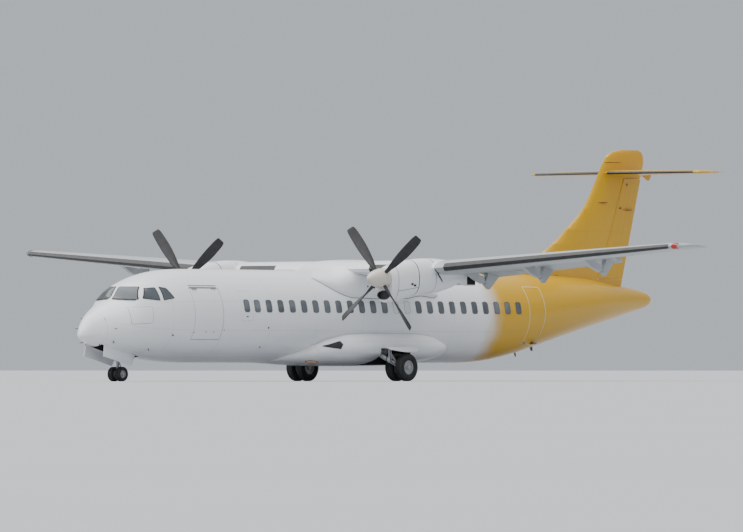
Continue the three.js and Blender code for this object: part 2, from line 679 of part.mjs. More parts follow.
function propellerGeometry() {
  const blade = bladeGeometry();
  const step = (2 * Math.PI) / PROP.blades;
  const first = THREE.MathUtils.degToRad(90 - PROP.phase);
  const blades = Array.from({ length: PROP.blades }, (_, i) => blade.clone().rotateX(-first + i * step));
  return join(spun(DRUM_PROFILE, 20), ...blades);
}

// Landing gear. Each tyre stands on one of its flats, as a loaded tyre does.
const WHEEL_SIDES = 20;
const AXLE_SIDES = 32;
const axleHeight = (gear) => gear.tyreRadius * Math.cos(Math.PI / WHEEL_SIDES);
const round = (radius, half, edge) => [[radius, half - edge], [radius - edge * 0.3, half - edge * 0.3],
  [radius - edge, half]];

// Tyre with round shoulders, turned about the port-starboard axis
function tyreGeometry(radius, width, rim) {
  const half = width / 2;
  const edge = width * 0.28;
  const outer = round(radius, half, edge);
  const profile = [[rim, -half * 0.72], ...outer.map(([r, w]) => [r, -w]).reverse(), ...outer,
    [rim, half * 0.72], [rim, -half * 0.72]];
  return new THREE.LatheGeometry(profile.map(([r, w]) => new THREE.Vector2(r, w)), WHEEL_SIDES);
}

// Two rims on one axle, dished on their outer faces
function rimsGeometry(offset, width, rim, axle) {
  const half = width * 0.36;
  const side = [[0, offset - half], [rim - SEAM, offset - half], [rim - SEAM, offset + half],
    [rim * 0.82, offset + half], [rim * 0.66, offset + half * 0.3], [rim * 0.3, offset + half * 0.5],
    [rim * 0.3, offset + half * 1.05], [0, offset + half * 1.05]];
  const wheel = new THREE.LatheGeometry(side.map(([r, w]) => new THREE.Vector2(r, w)), WHEEL_SIDES);
  const shaft = new THREE.CylinderGeometry(axle, axle, 2 * offset, AXLE_SIDES);
  return join(shaft, wheel, mirrored(wheel));
}

function addWheels(prefix, gear, y) {
  const { tyreRadius, tyreWidth, rimRadius, offset, station } = gear;
  const axle = new THREE.Group();
  axle.position.set(-station, y, axleHeight(gear) - CENTRELINE_HEIGHT);
  axle.rotation.y = Math.PI / WHEEL_SIDES;
  aircraft.add(axle);
  const tyre = tyreGeometry(tyreRadius, tyreWidth, rimRadius);
  add(`${prefix}_rims`, rimsGeometry(offset, tyreWidth, rimRadius, shaftOf(gear)), MATERIAL.rim, axle);
  add(`${prefix}_tyre_port`, tyre.clone().translate(0, offset, 0), MATERIAL.tyre, axle);
  add(`${prefix}_tyre_starboard`, tyre.clone().translate(0, -offset, 0), MATERIAL.tyre, axle);
}

// Crescent door over the main wheels, held above them by the leg
const LEG_DOOR = { stations: [11850, 13180], inner: [1985, -935], outer: [2430, -1085], thick: 22 };

function legDoorGeometry(grow = 0) {
  const { stations, inner, outer, thick } = LEG_DOOR;
  const steps = 8;
  const rings = Array.from({ length: steps + 1 }, (_, i) => {
    const t = i / steps;
    const reach = 0.3 + 0.7 * Math.sin(Math.PI * (0.08 + 0.84 * t));
    const station = mix(stations[0], stations[1], t);
    const edge = [mix(inner[0], outer[0], reach), mix(inner[1], outer[1], reach)];
    const bow = [(inner[0] + edge[0]) / 2, (inner[1] + edge[1]) / 2 + 28 * reach];
    const top = [inner, bow, edge].map(([y, z]) => at(station, y, z + grow));
    const under = [edge, bow, inner].map(([y, z]) => at(station, y, z - thick - grow));
    return [...top, ...under];
  });
  return loft(rings);
}

// Main leg: trunnion in the well, beam out ahead of the wheels, trailing arm, damper and door bracket
const MAIN_LEG = { station: 11980, trunnionY: 1350, trunnionRadius: 75, kneeZ: -1380, damperTop: -1120 };
const shaftOf = (gear) => gear.rimRadius * 0.28;

// Bearing boss round an axle, and the hole in it
function boss(gear, y, radius, half) {
  const axle = at(gear.station, y, axleHeight(gear) - CENTRELINE_HEIGHT);
  const place = (size, length) => new THREE.CylinderGeometry(size, size, length, AXLE_SIDES)
    .translate(axle.x, axle.y, axle.z);
  const wide = holeRadius(shaftOf(gear), AXLE_SIDES);
  return { axle, body: place(radius, 2 * half), hole: place(wide, 4 * half) };
}

function mainLegGeometry() {
  const { station, trunnionY, trunnionRadius, kneeZ, damperTop } = MAIN_LEG;
  const z = GEAR_WELL.roof - trunnionRadius - SEAM;
  const knee = at(station, MAIN_GEAR.y, kneeZ);
  const { axle, body, hole } = boss(MAIN_GEAR, MAIN_GEAR.y, 100, 60);
  const shape = join(
    bar(at(station - 130, trunnionY, z), at(station + 480, trunnionY, z), trunnionRadius),
    bar(at(station, trunnionY, z), knee, 68),
    bar(knee, axle, 55),
    bar(at(station, MAIN_GEAR.y, damperTop), at(station + 330, MAIN_GEAR.y, kneeZ - 100), 40),
    block([station - 45, station + 45], [MAIN_GEAR.y - 30, MAIN_GEAR.y + 30], [kneeZ, -900]),
    body);
  return cut(shape, hole, legDoorGeometry(SEAM));
}

// Nose leg: outer cylinder in the bay with its drag brace; the fork turns below it
const NOSE_LEG = { foot: 640, cylinder: 75, piston: 45 };

function noseLegGeometry() {
  const top = NOSE_BAY.roof - SEAM;
  const foot = NOSE_LEG.foot - CENTRELINE_HEIGHT;
  return join(
    bar(at(NOSE_GEAR.station, 0, top), at(NOSE_GEAR.station, 0, foot), NOSE_LEG.cylinder, 16),
    bar(at(NOSE_GEAR.station, -230, top - 60), at(NOSE_GEAR.station, 230, top - 60), 55),
    bar(at(NOSE_GEAR.station + 520, 0, top - 45), at(NOSE_GEAR.station, 0, top - 330), 40),
    bar(at(NOSE_GEAR.station, 0, -1180), at(NOSE_GEAR.station - 20, 150, -1180), 28));
}

function noseForkGeometry() {
  const foot = NOSE_LEG.foot - CENTRELINE_HEIGHT - SEAM;
  const { axle, body, hole } = boss(NOSE_GEAR, 0, 58, 42);
  const shape = join(
    bar(at(NOSE_GEAR.station, 0, foot), axle, NOSE_LEG.piston, 16),
    bar(at(NOSE_GEAR.station, 0, foot), at(NOSE_GEAR.station, 0, foot - 40), 70, 16),
    bar(at(NOSE_GEAR.station + 70, 0, foot - 60), at(NOSE_GEAR.station + 130, 0, foot - 190), 18),
    bar(at(NOSE_GEAR.station + 130, 0, foot - 190), at(NOSE_GEAR.station + 30, 0, foot - 320), 18),
    bar(at(NOSE_GEAR.station + 10, 0, foot - 30), at(NOSE_GEAR.station + 80, 0, foot - 70), 20),
    body);
  return cut(shape, hole);
}

// Nose gear door: a panel hanging from the edge of the bay, splayed outwards, its foot further forward
const NOSE_DOOR = { stations: [760, 2200], footLead: [90, 280], hinge: 345, drop: 340, splay: 55, thick: 20 };

function noseDoorGeometry() {
  const { stations, footLead, hinge, drop, splay, thick } = NOSE_DOOR;
  const rings = stations.map((station, i) => {
    const { bottom } = rowAt(FUSELAGE, 'station', station);
    const [ahead, foot] = [station - footLead[i], bottom + 60 - drop];
    return [at(station, hinge, bottom + 200), at(station, hinge + thick, bottom + 200),
      at(ahead, hinge + splay + thick, foot), at(ahead, hinge + splay, foot)];
  });
  return cut(loft(rings), tube(300, 2700, SEAM));
}

// Assembly
const wing = wingEnvelope();
const hinged = [DOORS.passenger, DOORS.cargo];
const seated = [DOORS.service, DOORS.exitLeft, DOORS.exitRight];
const holes = [...hinged.map((door) => [door, doorway]), ...seated.map((door) => [door, seat])];
const holesBetween = (from, to) => holes
  .filter(([door]) => door.stations[0] > from && door.stations[1] < to)
  .map(([door, hole]) => hole(door));

add('nose_cone', tube(NOSE_TIP, SECTION_ENDS.noseCone), MATERIAL.white);
const frontShell = cut(tube(SECTION_ENDS.noseCone + SEAM, SECTION_ENDS.front),
  ...holesBetween(0, SECTION_ENDS.front), glazingBand(SEAM), noseBay);
add('fuselage_front', join(frontShell, ...hingeRods(DOORS.cargo)), MATERIAL.white);
add('fuselage_middle', cut(tube(SECTION_ENDS.front + SEAM, SECTION_ENDS.middle), wing,
  ...holesBetween(SECTION_ENDS.front, SECTION_ENDS.middle)), MATERIAL.white);
const rearShell = cut(tube(SECTION_ENDS.middle + SEAM, SECTION_ENDS.rear),
  ...holesBetween(SECTION_ENDS.middle, SECTION_ENDS.rear));
add('fuselage_rear', join(rearShell, ...hingeRods(DOORS.passenger)), MATERIAL.yellow);
add('tail_cone', tube(SECTION_ENDS.rear + SEAM, SECTION_ENDS.tail), MATERIAL.yellow);
add('cockpit_glazing', glazingBand(0), MATERIAL.glass);
add('wing_fairing', cut(ovalLoft(WING_FAIRING), wing, wholeTube), MATERIAL.white);

const well = block(GEAR_WELL.stations, GEAR_WELL.sides, [-2000, GEAR_WELL.roof]);
add('belly_fairing', cut(ovalLoft(BELLY_FAIRING), wholeTube, well, mirrored(well)), MATERIAL.white);

add('service_door', panel(DOORS.service), MATERIAL.yellow);
add('exit_port', panel(DOORS.exitLeft), MATERIAL.white);
add('exit_starboard', panel(DOORS.exitRight), MATERIAL.white);

// Airstair: the door with its steps on the inside
const STEP = { count: 5, depth: 230, thick: 35, margin: 90, first: 260, spacing: 300 };
const steps = Array.from({ length: STEP.count }, (_, i) => {
  const height = DOORS.passenger.heights[0] + STEP.first + i * STEP.spacing;
  const skin = Math.sqrt(FUSELAGE_RADIUS ** 2 - height ** 2);
  const tread = block([DOORS.passenger.stations[0] + STEP.margin, DOORS.passenger.stations[1] - STEP.margin],
    [skin - 90 - STEP.depth, skin], [height, height + STEP.thick]);
  return common(tread, tube(SECTION_ENDS.middle, SECTION_ENDS.rear, -45));
});
add('passenger_door', hingedPanel(DOORS.passenger, ...steps), MATERIAL.yellow);
add('cargo_door', hingedPanel(DOORS.cargo), MATERIAL.white);

// Wings: centre section, then both outer panels with their tips
const centre = cut(loft([-WING.breakY, WING.breakY].map((y) => wingRing(y))),
  cove(FLAPS.inner.from, FLAPS.inner.to), mirrored(cove(FLAPS.inner.from, FLAPS.inner.to)));
const innerTrack = fixedTrack(FLAPS.inner.tracks[0]);
add('wing_centre', join(centre, innerTrack, mirrored(innerTrack)), MATERIAL.white);

// Middle of the wing's thickness where the aileron hinges
function aileronHinge(y) {
  const { lead, chord } = wingAt(y);
  const skins = [1, -1].map((side) => profileOf(wingSection(y)).at((AILERON.hinge - lead) / chord, side));
  const middle = skins[0].add(skins[1]).multiplyScalar(0.5);
  return at(lead + middle.x, y, WING.z + rise(y) + middle.y);
}

const aileronPins = hingePins(aileronHinge(AILERON.from), aileronHinge(AILERON.to), [14, 14]);
const outerPanel = join(cut(
  loft([wingRing(WING.breakY + SEAM), wingRing(13150), tipRing(13330, 110, 0.88), tipRing(13450, 260, 0.66),
    tipRing(WING.semiSpan, 480, 0.35)]),
  cove(FLAPS.outer.from, FLAPS.outer.to),
  block([AILERON.cove, 15000], [AILERON.from - CLEARANCE, AILERON.to + CLEARANCE], [0, 4000]),
  ...aileronPins.map(({ hole }) => hole)),
...FLAPS.outer.tracks.map(fixedTrack));
add('wing_port', outerPanel, MATERIAL.white);
add('wing_starboard', mirrored(outerPanel), MATERIAL.white);

const aileronRings = [AILERON.from, AILERON.to].map((y) =>
  wingRearRing(y, AILERON.hinge, AILERON.noseLength));
const aileron = join(loft(aileronRings), ...aileronPins.map(({ pin }) => pin));
add('aileron_port', aileron, MATERIAL.white);
add('aileron_starboard', mirrored(aileron), MATERIAL.white);

// Flaps are drawn retracted and turned about their pivots to the setting shown
for (const [name, flap] of Object.entries(FLAPS)) {
  const slope = name === 'outer' ? DIHEDRAL : 0;
  const axis = new THREE.Vector3(0, Math.cos(slope), Math.sin(slope));
  const pivot = flapPivot(WING.breakY);
  const turn = new THREE.Matrix4().makeRotationAxis(axis, THREE.MathUtils.degToRad(-FLAP.angle));
  const shape = flapGeometry(flap).translate(-pivot.x, -pivot.y, -pivot.z).applyMatrix4(turn)
    .translate(pivot.x, pivot.y, pivot.z);
  add(`flap_${name}_port`, shape, MATERIAL.white);
  add(`flap_${name}_starboard`, mirrored(shape), MATERIAL.white);
}

// Nacelles, engines and propellers
const nacelle = nacelleGeometry(wing);
add('nacelle_port', nacelle, MATERIAL.white);
add('nacelle_starboard', mirrored(nacelle), MATERIAL.white);
for (const [side, sign] of [['port', 1], ['starboard', -1]]) {
  add(`engine_${side}`, engineGeometry(sign * NACELLE_Y), MATERIAL.engine);
  const hub = new THREE.Group();
  hub.position.set(-PROP.station, sign * NACELLE_Y, PROP.z);
  aircraft.add(hub);
  add(`propeller_${side}`, propellerGeometry(), MATERIAL.blade, hub);
  add(`spinner_${side}`, spun(SPINNER_PROFILE, 20), MATERIAL.spinner, hub);
}

// Tail
const tailEnvelope = loft([-TAIL_TIP[0].y, 0, TAIL_TIP[0].y].map((y) => tailRing(y, { grow: SEAM })));
const finCove = RUDDER.nose + RUDDER.gap;
const rudderCut = slabBehind([RUDDER.hingeBase - finCove, RUDDER.base - RUDDER.endGap],
  [RUDDER.hingeTop - finCove, RUDDER.top + RUDDER.endGap], [-800, 800], 3000, 125).rotateX(Math.PI / 2);
const rudderEnds = [RUDDER.base, RUDDER.top].map((z) => at(hingeOfFin(z), 0, z));
const rudderPins = hingePins(...rudderEnds, [20, 20]);
add('fin', cut(finLoft(FIN), rudderCut, tailEnvelope, wholeTube, ...rudderPins.map(({ hole }) => hole)),
  MATERIAL.yellow);
add('fin_cap', finLoft(FIN_CAP), MATERIAL.yellow);
add('rudder', join(rudderGeometry(), ...rudderPins.map(({ pin }) => pin)), MATERIAL.yellow);

const tipRings = TAIL_TIP.map(({ y, ...options }) => tailRing(y, options));
const farRings = TAIL_TIP.toReversed().map(({ y, ...options }) => tailRing(-y, options));
const tailShape = loft([...farRings, tailRing(0), ...tipRings]);
const elevatorCove = ELEVATOR.nose + ELEVATOR.gap;
const elevatorHinge = (y) => tailMix(TAIL.hingeRoot, TAIL.hingeTip, y);
const elevatorCut = slabBehind([elevatorHinge(ELEVATOR.from) - elevatorCove, ELEVATOR.from - CLEARANCE],
  [elevatorHinge(ELEVATOR.to) - elevatorCove, ELEVATOR.to + CLEARANCE], [TAIL.z - 400, TAIL.z + 400], 2000);
const elevatorEnds = [ELEVATOR.from, ELEVATOR.to].map((y) => at(elevatorHinge(y), y, TAIL.z));
const elevatorPins = hingePins(...elevatorEnds, [14, 8]);
const pinHoles = elevatorPins.map(({ hole }) => hole);
add('tailplane', cut(tailShape, elevatorCut, mirrored(elevatorCut), ...pinHoles, ...pinHoles.map(mirrored)),
  MATERIAL.yellow);
const elevator = join(loft([ELEVATOR.from, ELEVATOR.to].map((y) => elevatorRing(y))),
  ...elevatorPins.map(({ pin }) => pin));
add('elevator_port', elevator, MATERIAL.yellow);
add('elevator_starboard', mirrored(elevator), MATERIAL.yellow);

// Landing gear
add('nose_leg', noseLegGeometry(), MATERIAL.strut);
add('nose_fork', noseForkGeometry(), MATERIAL.strut);
const noseDoor = noseDoorGeometry();
add('nose_door_port', noseDoor, MATERIAL.white);
add('nose_door_starboard', mirrored(noseDoor), MATERIAL.white);
addWheels('nose', NOSE_GEAR, 0);
const mainLeg = mainLegGeometry();
const legDoor = legDoorGeometry();
for (const [side, sign] of [['port', 1], ['starboard', -1]]) {
  const own = (geometry) => (sign > 0 ? geometry : mirrored(geometry));
  add(`main_leg_${side}`, own(mainLeg), MATERIAL.strut);
  add(`main_door_${side}`, own(legDoor), MATERIAL.white);
  addWheels(`main_${side}`, MAIN_GEAR, sign * MAIN_GEAR.y);
}

export default aircraft;
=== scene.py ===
# Twin-turboprop regional airliner with a high wing and a T tail, parked on its gear.
# Metres. Places on the airframe are given as station aft of the nose, distance to port of the
# centreline and height over the fuselage axis, as a loft plan gives them.
import math

import bmesh
import bpy
from mathutils import Matrix, Vector
from mathutils.bvhtree import BVHTree


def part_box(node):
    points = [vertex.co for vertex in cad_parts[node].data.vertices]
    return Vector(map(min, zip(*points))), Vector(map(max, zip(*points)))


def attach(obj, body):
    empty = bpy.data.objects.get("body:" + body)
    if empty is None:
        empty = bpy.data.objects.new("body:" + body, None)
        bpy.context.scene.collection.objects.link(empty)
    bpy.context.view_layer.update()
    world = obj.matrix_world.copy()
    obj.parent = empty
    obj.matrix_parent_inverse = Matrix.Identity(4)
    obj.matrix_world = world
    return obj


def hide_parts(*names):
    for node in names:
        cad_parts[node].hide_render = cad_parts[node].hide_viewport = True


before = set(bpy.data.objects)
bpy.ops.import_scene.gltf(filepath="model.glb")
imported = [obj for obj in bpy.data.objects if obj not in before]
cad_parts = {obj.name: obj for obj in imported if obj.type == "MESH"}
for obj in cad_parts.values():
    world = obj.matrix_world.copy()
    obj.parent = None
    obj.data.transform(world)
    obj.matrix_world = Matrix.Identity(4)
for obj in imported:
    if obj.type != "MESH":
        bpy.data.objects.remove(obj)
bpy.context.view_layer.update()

# Fuselage: aluminium sheet on frames and stringers, in five barrels riveted end to end. Each is
# a unit tube with rings at the stations, swelled to the body lines; doorways and bays are pushed in.
# Columns: station, half width, top, bottom, height of the widest part
BODY_LINES = [
    (0.045, 0.030, -0.588, -0.650, -0.618),
    (0.090, 0.115, -0.470, -0.690, -0.595),
    (0.140, 0.175, -0.380, -0.720, -0.585),
    (0.220, 0.245, -0.280, -0.760, -0.570),
    (0.350, 0.345, -0.120, -0.820, -0.545),
    (0.530, 0.485, 0.025, -0.885, -0.510),
    (0.760, 0.655, 0.160, -0.960, -0.465),
    (1.020, 0.820, 0.305, -1.030, -0.415),
    (1.280, 0.960, 0.430, -1.095, -0.360),
    (1.480, 1.045, 0.545, -1.140, -0.310),
    (1.730, 1.130, 0.850, -1.190, -0.250),
    (2.150, 1.230, 1.060, -1.250, -0.180),
    (2.700, 1.325, 1.235, -1.320, -0.110),
    (3.300, 1.390, 1.350, -1.380, -0.050),
    (4.000, 1.422, 1.415, -1.420, -0.015),
    (4.700, 1.4325, 1.4325, -1.4325, 0.0),
    (17.300, 1.4325, 1.4325, -1.4325, 0.0),
    (18.500, 1.425, 1.430, -1.375, 0.025),
    (19.700, 1.385, 1.425, -1.205, 0.110),
    (21.000, 1.285, 1.405, -0.920, 0.240),
    (22.400, 1.120, 1.365, -0.600, 0.380),
    (23.800, 0.915, 1.290, -0.290, 0.500),
    (25.200, 0.620, 1.100, 0.005, 0.560),
    (26.300, 0.375, 0.965, 0.245, 0.605),
    (26.900, 0.240, 0.850, 0.375, 0.610),
    (27.110, 0.140, 0.750, 0.470, 0.610),
    (27.210, 0.045, 0.655, 0.565, 0.610),
]
# Columns: station that the spacing holds up to, spacing of the rings
RING_STEPS = [(0.6, 0.04), (3.3, 0.09), (4.7, 0.2), (17.3, 0.7), (26.5, 0.3), (27.21, 0.05)]
BARREL_SIDES = 96
BARRELS = [("nose_cone", 0.045, 0.62), ("fuselage_front", 0.6203, 5.6),
           ("fuselage_middle", 5.6003, 17.3), ("fuselage_rear", 17.3003, 21.5),
           ("tail_cone", 21.5003, 27.21)]
RADIUS = 1.4325
STATION_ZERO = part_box("nose_cone")[1].x + BODY_LINES[0][0]
AXIS_HEIGHT = 2.0
# Well clear of every surface, from the middle
REACH = 4.0
# A face with less of its normal than this along an axis doesn't face that way
FACING = 0.02
NEAR = 0.001


def at(station, y, z):
    return Vector((STATION_ZERO - station, y, AXIS_HEIGHT + z))


def row_at(table, place, smooth=True):
    """A table's other columns at a place in its first one, on smooth curves or straight lines."""
    last = len(table) - 1
    i = next((k for k in range(1, last) if table[k][0] >= place), last)
    before, after = table[i - 1], table[i]
    span = after[0] - before[0]
    t = min(max((place - before[0]) / span, 0.0), 1.0)
    values = []
    for column in range(1, len(before)):
        rates = [(b[column] - a[column]) / (b[0] - a[0]) for a, b in zip(table, table[1:])]
        padded = [rates[0], *rates, rates[-1]]
        slopes = [2 * p * q / (p + q) if p * q > 0 else 0.0 for p, q in zip(padded, padded[1:])]
        start, stop = slopes[i - 1] * span, slopes[i] * span
        curve = (before[column] * (1 + 2 * t) * (1 - t) ** 2 + start * t * (1 - t) ** 2
                 + after[column] * t * t * (3 - 2 * t) + stop * t * t * (t - 1))
        values.append(curve if smooth else before[column] + (after[column] - before[column]) * t)
    return values


def tube(table, rings):
    """Closed tube with a ring at each station, swelled to a table of lines."""
    start, end = rings[0], rings[-1]
    bm = bmesh.new()
    bmesh.ops.create_cone(bm, cap_ends=True, segments=BARREL_SIDES, radius1=1, radius2=1,
                          depth=end - start)
    bmesh.ops.rotate(bm, verts=bm.verts, matrix=Matrix.Rotation(math.pi / 2, 3, "Y"))
    bmesh.ops.translate(bm, verts=bm.verts, vec=((start + end) / 2, 0, 0))
    for station in rings[1:-1]:
        bmesh.ops.bisect_plane(bm, geom=[*bm.verts, *bm.edges, *bm.faces],
                               plane_co=(station, 0, 0), plane_no=(1, 0, 0))
    rows = {round(station, 3): row_at(table, station) for station in rings}
    for vert in bm.verts:
        half, top, bottom, waist, *power = rows[round(vert.co.x, 3)]
        bend = 2 / power[0] if power else 1.0
        across, up = (math.copysign(abs(value) ** bend, value) for value in vert.co.yz)
        rise = up * (top - waist if up > 0 else waist - bottom)
        vert.co = at(vert.co.x, across * half, waist + rise)
    bmesh.ops.recalc_face_normals(bm, faces=bm.faces)
    return bm


def barrel(start, end):
    """Closed length of the fuselage between two stations."""
    rings = [start]
    while rings[-1] < end - NEAR:
        step = next(step for limit, step in RING_STEPS if rings[-1] < limit)
        rings.append(min(rings[-1] + step, end))
    return tube(BODY_LINES, rings)


def surface_of(bm):
    """A shape as a surface to find places on; the mesh itself is let go."""
    surface = BVHTree.FromBMesh(bm)
    bm.free()
    return surface


def cut_lines(bm, faces, axis, value):
    """Cuts those faces along one plane across an axis."""
    point, normal = [0.0] * 3, [0.0] * 3
    point[axis], normal[axis] = value, 1.0
    geometry = [*{v for f in faces for v in f.verts}, *{e for f in faces for e in f.edges}, *faces]
    bmesh.ops.bisect_plane(bm, geom=geometry, plane_co=point, plane_no=normal, dist=0.00001)


def draw_in(bm, mouth, axis, depth, lining):
    """Draws faces straight in to a depth along one axis; the hole has a lining of its own."""
    made = bmesh.ops.extrude_face_region(bm, geom=mouth, use_keep_orig=True)["geom"]
    bmesh.ops.delete(bm, geom=mouth, context="FACES")
    floor = [g for g in made if isinstance(g, bmesh.types.BMVert)]
    for vert in floor:
        vert.co[axis] = depth
    for face in {f for v in floor for f in v.link_faces}:
        face.material_index = lining
    bm.normal_update()


def push_in(bm, low, high, axis, side, depth, lining):
    """Straight hole through a skin over the box from low to high, down to a depth along one axis."""
    others = [k for k in range(3) if k != axis]

    def facing(inside):
        found = []
        for face in (face for face in bm.faces if face.normal[axis] * side >= FACING):
            spans = [(min(v.co[k] for v in face.verts), max(v.co[k] for v in face.verts), low[k], high[k])
                     for k in others]
            if inside and all(a > c - NEAR and b < d + NEAR for a, b, c, d in spans):
                found.append(face)
            elif not inside and all(b > c and a < d for a, b, c, d in spans):
                found.append(face)
        return found

    for k in others:
        for value in (low[k], high[k]):
            cut_lines(bm, facing(False), k, value)
            bm.normal_update()
    draw_in(bm, facing(True), axis, depth, lining)


def piece(name, bm, materials, body="airframe", stands_for=(), sharp=32):
    """A finished piece: its faces out, its edges sharp over that angle, riding on its body."""
    bmesh.ops.recalc_face_normals(bm, faces=bm.faces)
    mesh = bpy.data.meshes.new(name)
    bm.to_mesh(mesh)
    bm.free()
    mesh.polygons.foreach_set("use_smooth", [True] * len(mesh.polygons))
    mesh.set_sharp_from_angle(angle=math.radians(sharp))
    made = bpy.data.objects.new(name, mesh)
    bpy.context.scene.collection.objects.link(made)
    for material in materials:
        mesh.materials.append(material)
    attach(made, body)
    if stands_for:
        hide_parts(*stands_for)


def linear(code):
    """Linear RGBA of an sRGB hex colour."""
    channels = [int(code[i:i + 2], 16) / 255 for i in (0, 2, 4)]
    return [c / 12.92 if c <= 0.04045 else ((c + 0.055) / 1.055) ** 2.4 for c in channels] + [1.0]


def add_node(tree, kind, inputs, **settings):
    """One node with its settings; each input is a value, or a node or socket to link from."""
    made = tree.nodes.new("ShaderNode" + kind)
    for name, value in settings.items():
        setattr(made, name, value)
    for place, value in inputs.items():
        source = value.outputs[0] if isinstance(value, bpy.types.Node) else value
        if isinstance(source, bpy.types.NodeSocket):
            tree.links.new(source, made.inputs[place])
        else:
            made.inputs[place].default_value = source
    return made


def new_finish(name, code, roughness, **sockets):
    """A material, its tree, its shader with its own constants set, and places on the object."""
    material = bpy.data.materials.new(name)
    material.use_nodes = True
    tree = material.node_tree
    shader = tree.nodes["Principled BSDF"]
    constants = {"Base_Color": linear(code), "Roughness": roughness, **sockets}
    for socket, value in constants.items():
        shader.inputs[socket.replace("_", " ")].default_value = value
    return material, tree, shader, add_node(tree, "TexCoord", {}).outputs["Object"]


def patches(tree, place, size, stretch=(1, 1, 1), detail=3.0):
    """Uneven patches about that size in metres, drawn out by stretch."""
    scale = [1 / (size * share) for share in stretch]
    moved = add_node(tree, "Mapping", {"Vector": place, "Scale": scale})
    return add_node(tree, "TexNoise", {"Vector": moved, "Scale": 1.0, "Detail": detail})


# Gloss aircraft paint: polyurethane enamel sprayed over primed aluminium and composite skins.
# It gives a clean, wet-looking surface with faint lap joints of the sheets below, a little
# road film that gathers low down, and colour that shifts slightly from sheet to sheet.
GLOSS = {"IOR": 1.5, "Specular_IOR_Level": 0.35, "Coat_Weight": 0.12, "Coat_Roughness": 0.06}
LAP = {"width": 0.014, "shade": 0.22, "radius": 1.43}
TONE = {"size": 1.3, "stretch": (2.5, 1, 1), "depth": 0.07}
FILM = {"code": "6e6a62", "size": 0.35, "stretch": (5, 1, 1), "detail": 5.0, "top": 2.3,
        "foot": 0.4, "least": 0.25, "power": 2.2}
PEEL = {"size": 0.05, "depth": 0.04, "strength": 0.12, "distance": 0.004}
# A Mix node's places for its two colours, and for the mixed one
FIRST, SECOND, MIXED = 6, 7, 2
# Where the tail's yellow begins and is full, how far the patches shift that, and their size
FADE = {"from": STATION_ZERO - 16.925, "to": STATION_ZERO - 18.025, "shift": 0.55, "size": 0.5}


def aircraft_paint(name, code, sheets, pitch, second=None, roughness=0.28, grime=0.5):
    """Gloss paint with lap lines every pitch metres along and across the sheets.
    sheets is round for a barrel, span for a wing and upright for a fin."""
    material, tree, shader, place = new_finish(name, code, roughness, **GLOSS)
    x, y, z = add_node(tree, "SeparateXYZ", {0: place}).outputs
    across = z
    if sheets == "span":
        across = add_node(tree, "Math", {0: y}, operation="ABSOLUTE")
    elif sheets == "round":
        over = add_node(tree, "Math", {0: z, 1: AXIS_HEIGHT}, operation="SUBTRACT")
        angle = add_node(tree, "Math", {0: y, 1: over}, operation="ARCTAN2")
        across = add_node(tree, "Math", {0: angle, 1: LAP["radius"]}, operation="MULTIPLY")
    lines = []
    for value, step in ((x, pitch[0]), (across, pitch[1])):
        ramp = add_node(tree, "Math", {0: value, 1: step / 2}, operation="PINGPONG")
        lines.append(add_node(tree, "Math", {0: ramp, 1: LAP["width"] / 2}, operation="LESS_THAN"))
    line = add_node(tree, "Math", {0: lines[0], 1: lines[1]}, operation="MAXIMUM")
    colour = linear(code)
    if second:
        uneven = add_node(tree, "Math", {0: patches(tree, place, FADE["size"]), 1: FADE["shift"]},
                          operation="MULTIPLY")
        shifted = add_node(tree, "Math", {0: x, 1: uneven}, operation="ADD")
        share = add_node(tree, "MapRange", {"Value": shifted, "From Min": FADE["from"],
                                            "From Max": FADE["to"]}, interpolation_type="SMOOTHSTEP")
        colour = add_node(tree, "Mix", {0: share, FIRST: colour, SECOND: linear(second)},
                          data_type="RGBA").outputs[MIXED]
    tone = add_node(tree, "Math", {0: patches(tree, place, TONE["size"], TONE["stretch"]),
                                   1: TONE["depth"]}, operation="MULTIPLY")
    low = add_node(tree, "MapRange", {"Value": z, "From Min": FILM["top"], "From Max": FILM["foot"],
                                      "To Min": FILM["least"]})
    seam = add_node(tree, "Math", {0: line, 1: LAP["shade"]}, operation="MULTIPLY")
    darker = patches(tree, place, FILM["size"], FILM["stretch"], FILM["detail"])
    for operation, value in (("MULTIPLY", low), ("POWER", FILM["power"]), ("MULTIPLY", grime),
                             ("ADD", tone), ("ADD", seam)):
        darker = add_node(tree, "Math", {0: darker, 1: value}, operation=operation)
    worn = add_node(tree, "Mix", {0: darker, FIRST: colour, SECOND: linear(FILM["code"])},
                    data_type="RGBA")
    tree.links.new(worn.outputs[MIXED], shader.inputs["Base Color"])
    peel = add_node(tree, "Math", {0: patches(tree, place, PEEL["size"]), 1: PEEL["depth"]},
                    operation="MULTIPLY")
    height = add_node(tree, "Math", {0: peel, 1: line}, operation="SUBTRACT")
    bump = add_node(tree, "Bump", {"Height": height, "Strength": PEEL["strength"],
                                   "Distance": PEEL["distance"]})
    tree.links.new(bump.outputs[0], shader.inputs["Normal"])
    return material


def mottled(name, code, roughness=0.8, size=0.12, share=0.4, second="3a3a38", ripple=None, **sockets):
    """Finish that drifts to dust or wear of a second colour in patches of about that size, and
    with ripple stands up by the same patches."""
    material, tree, shader, place = new_finish(name, code, roughness, **{"IOR": 1.5, **sockets})
    uneven = patches(tree, place, size)
    settled = add_node(tree, "Math", {0: uneven, 1: share}, operation="MULTIPLY")
    colour = add_node(tree, "Mix", {0: settled, FIRST: linear(code), SECOND: linear(second)},
                      data_type="RGBA")
    tree.links.new(colour.outputs[MIXED], shader.inputs["Base Color"])
    if ripple:
        bump = add_node(tree, "Bump", {"Height": uneven, **ripple})
        tree.links.new(bump.outputs[0], shader.inputs["Normal"])
    return material


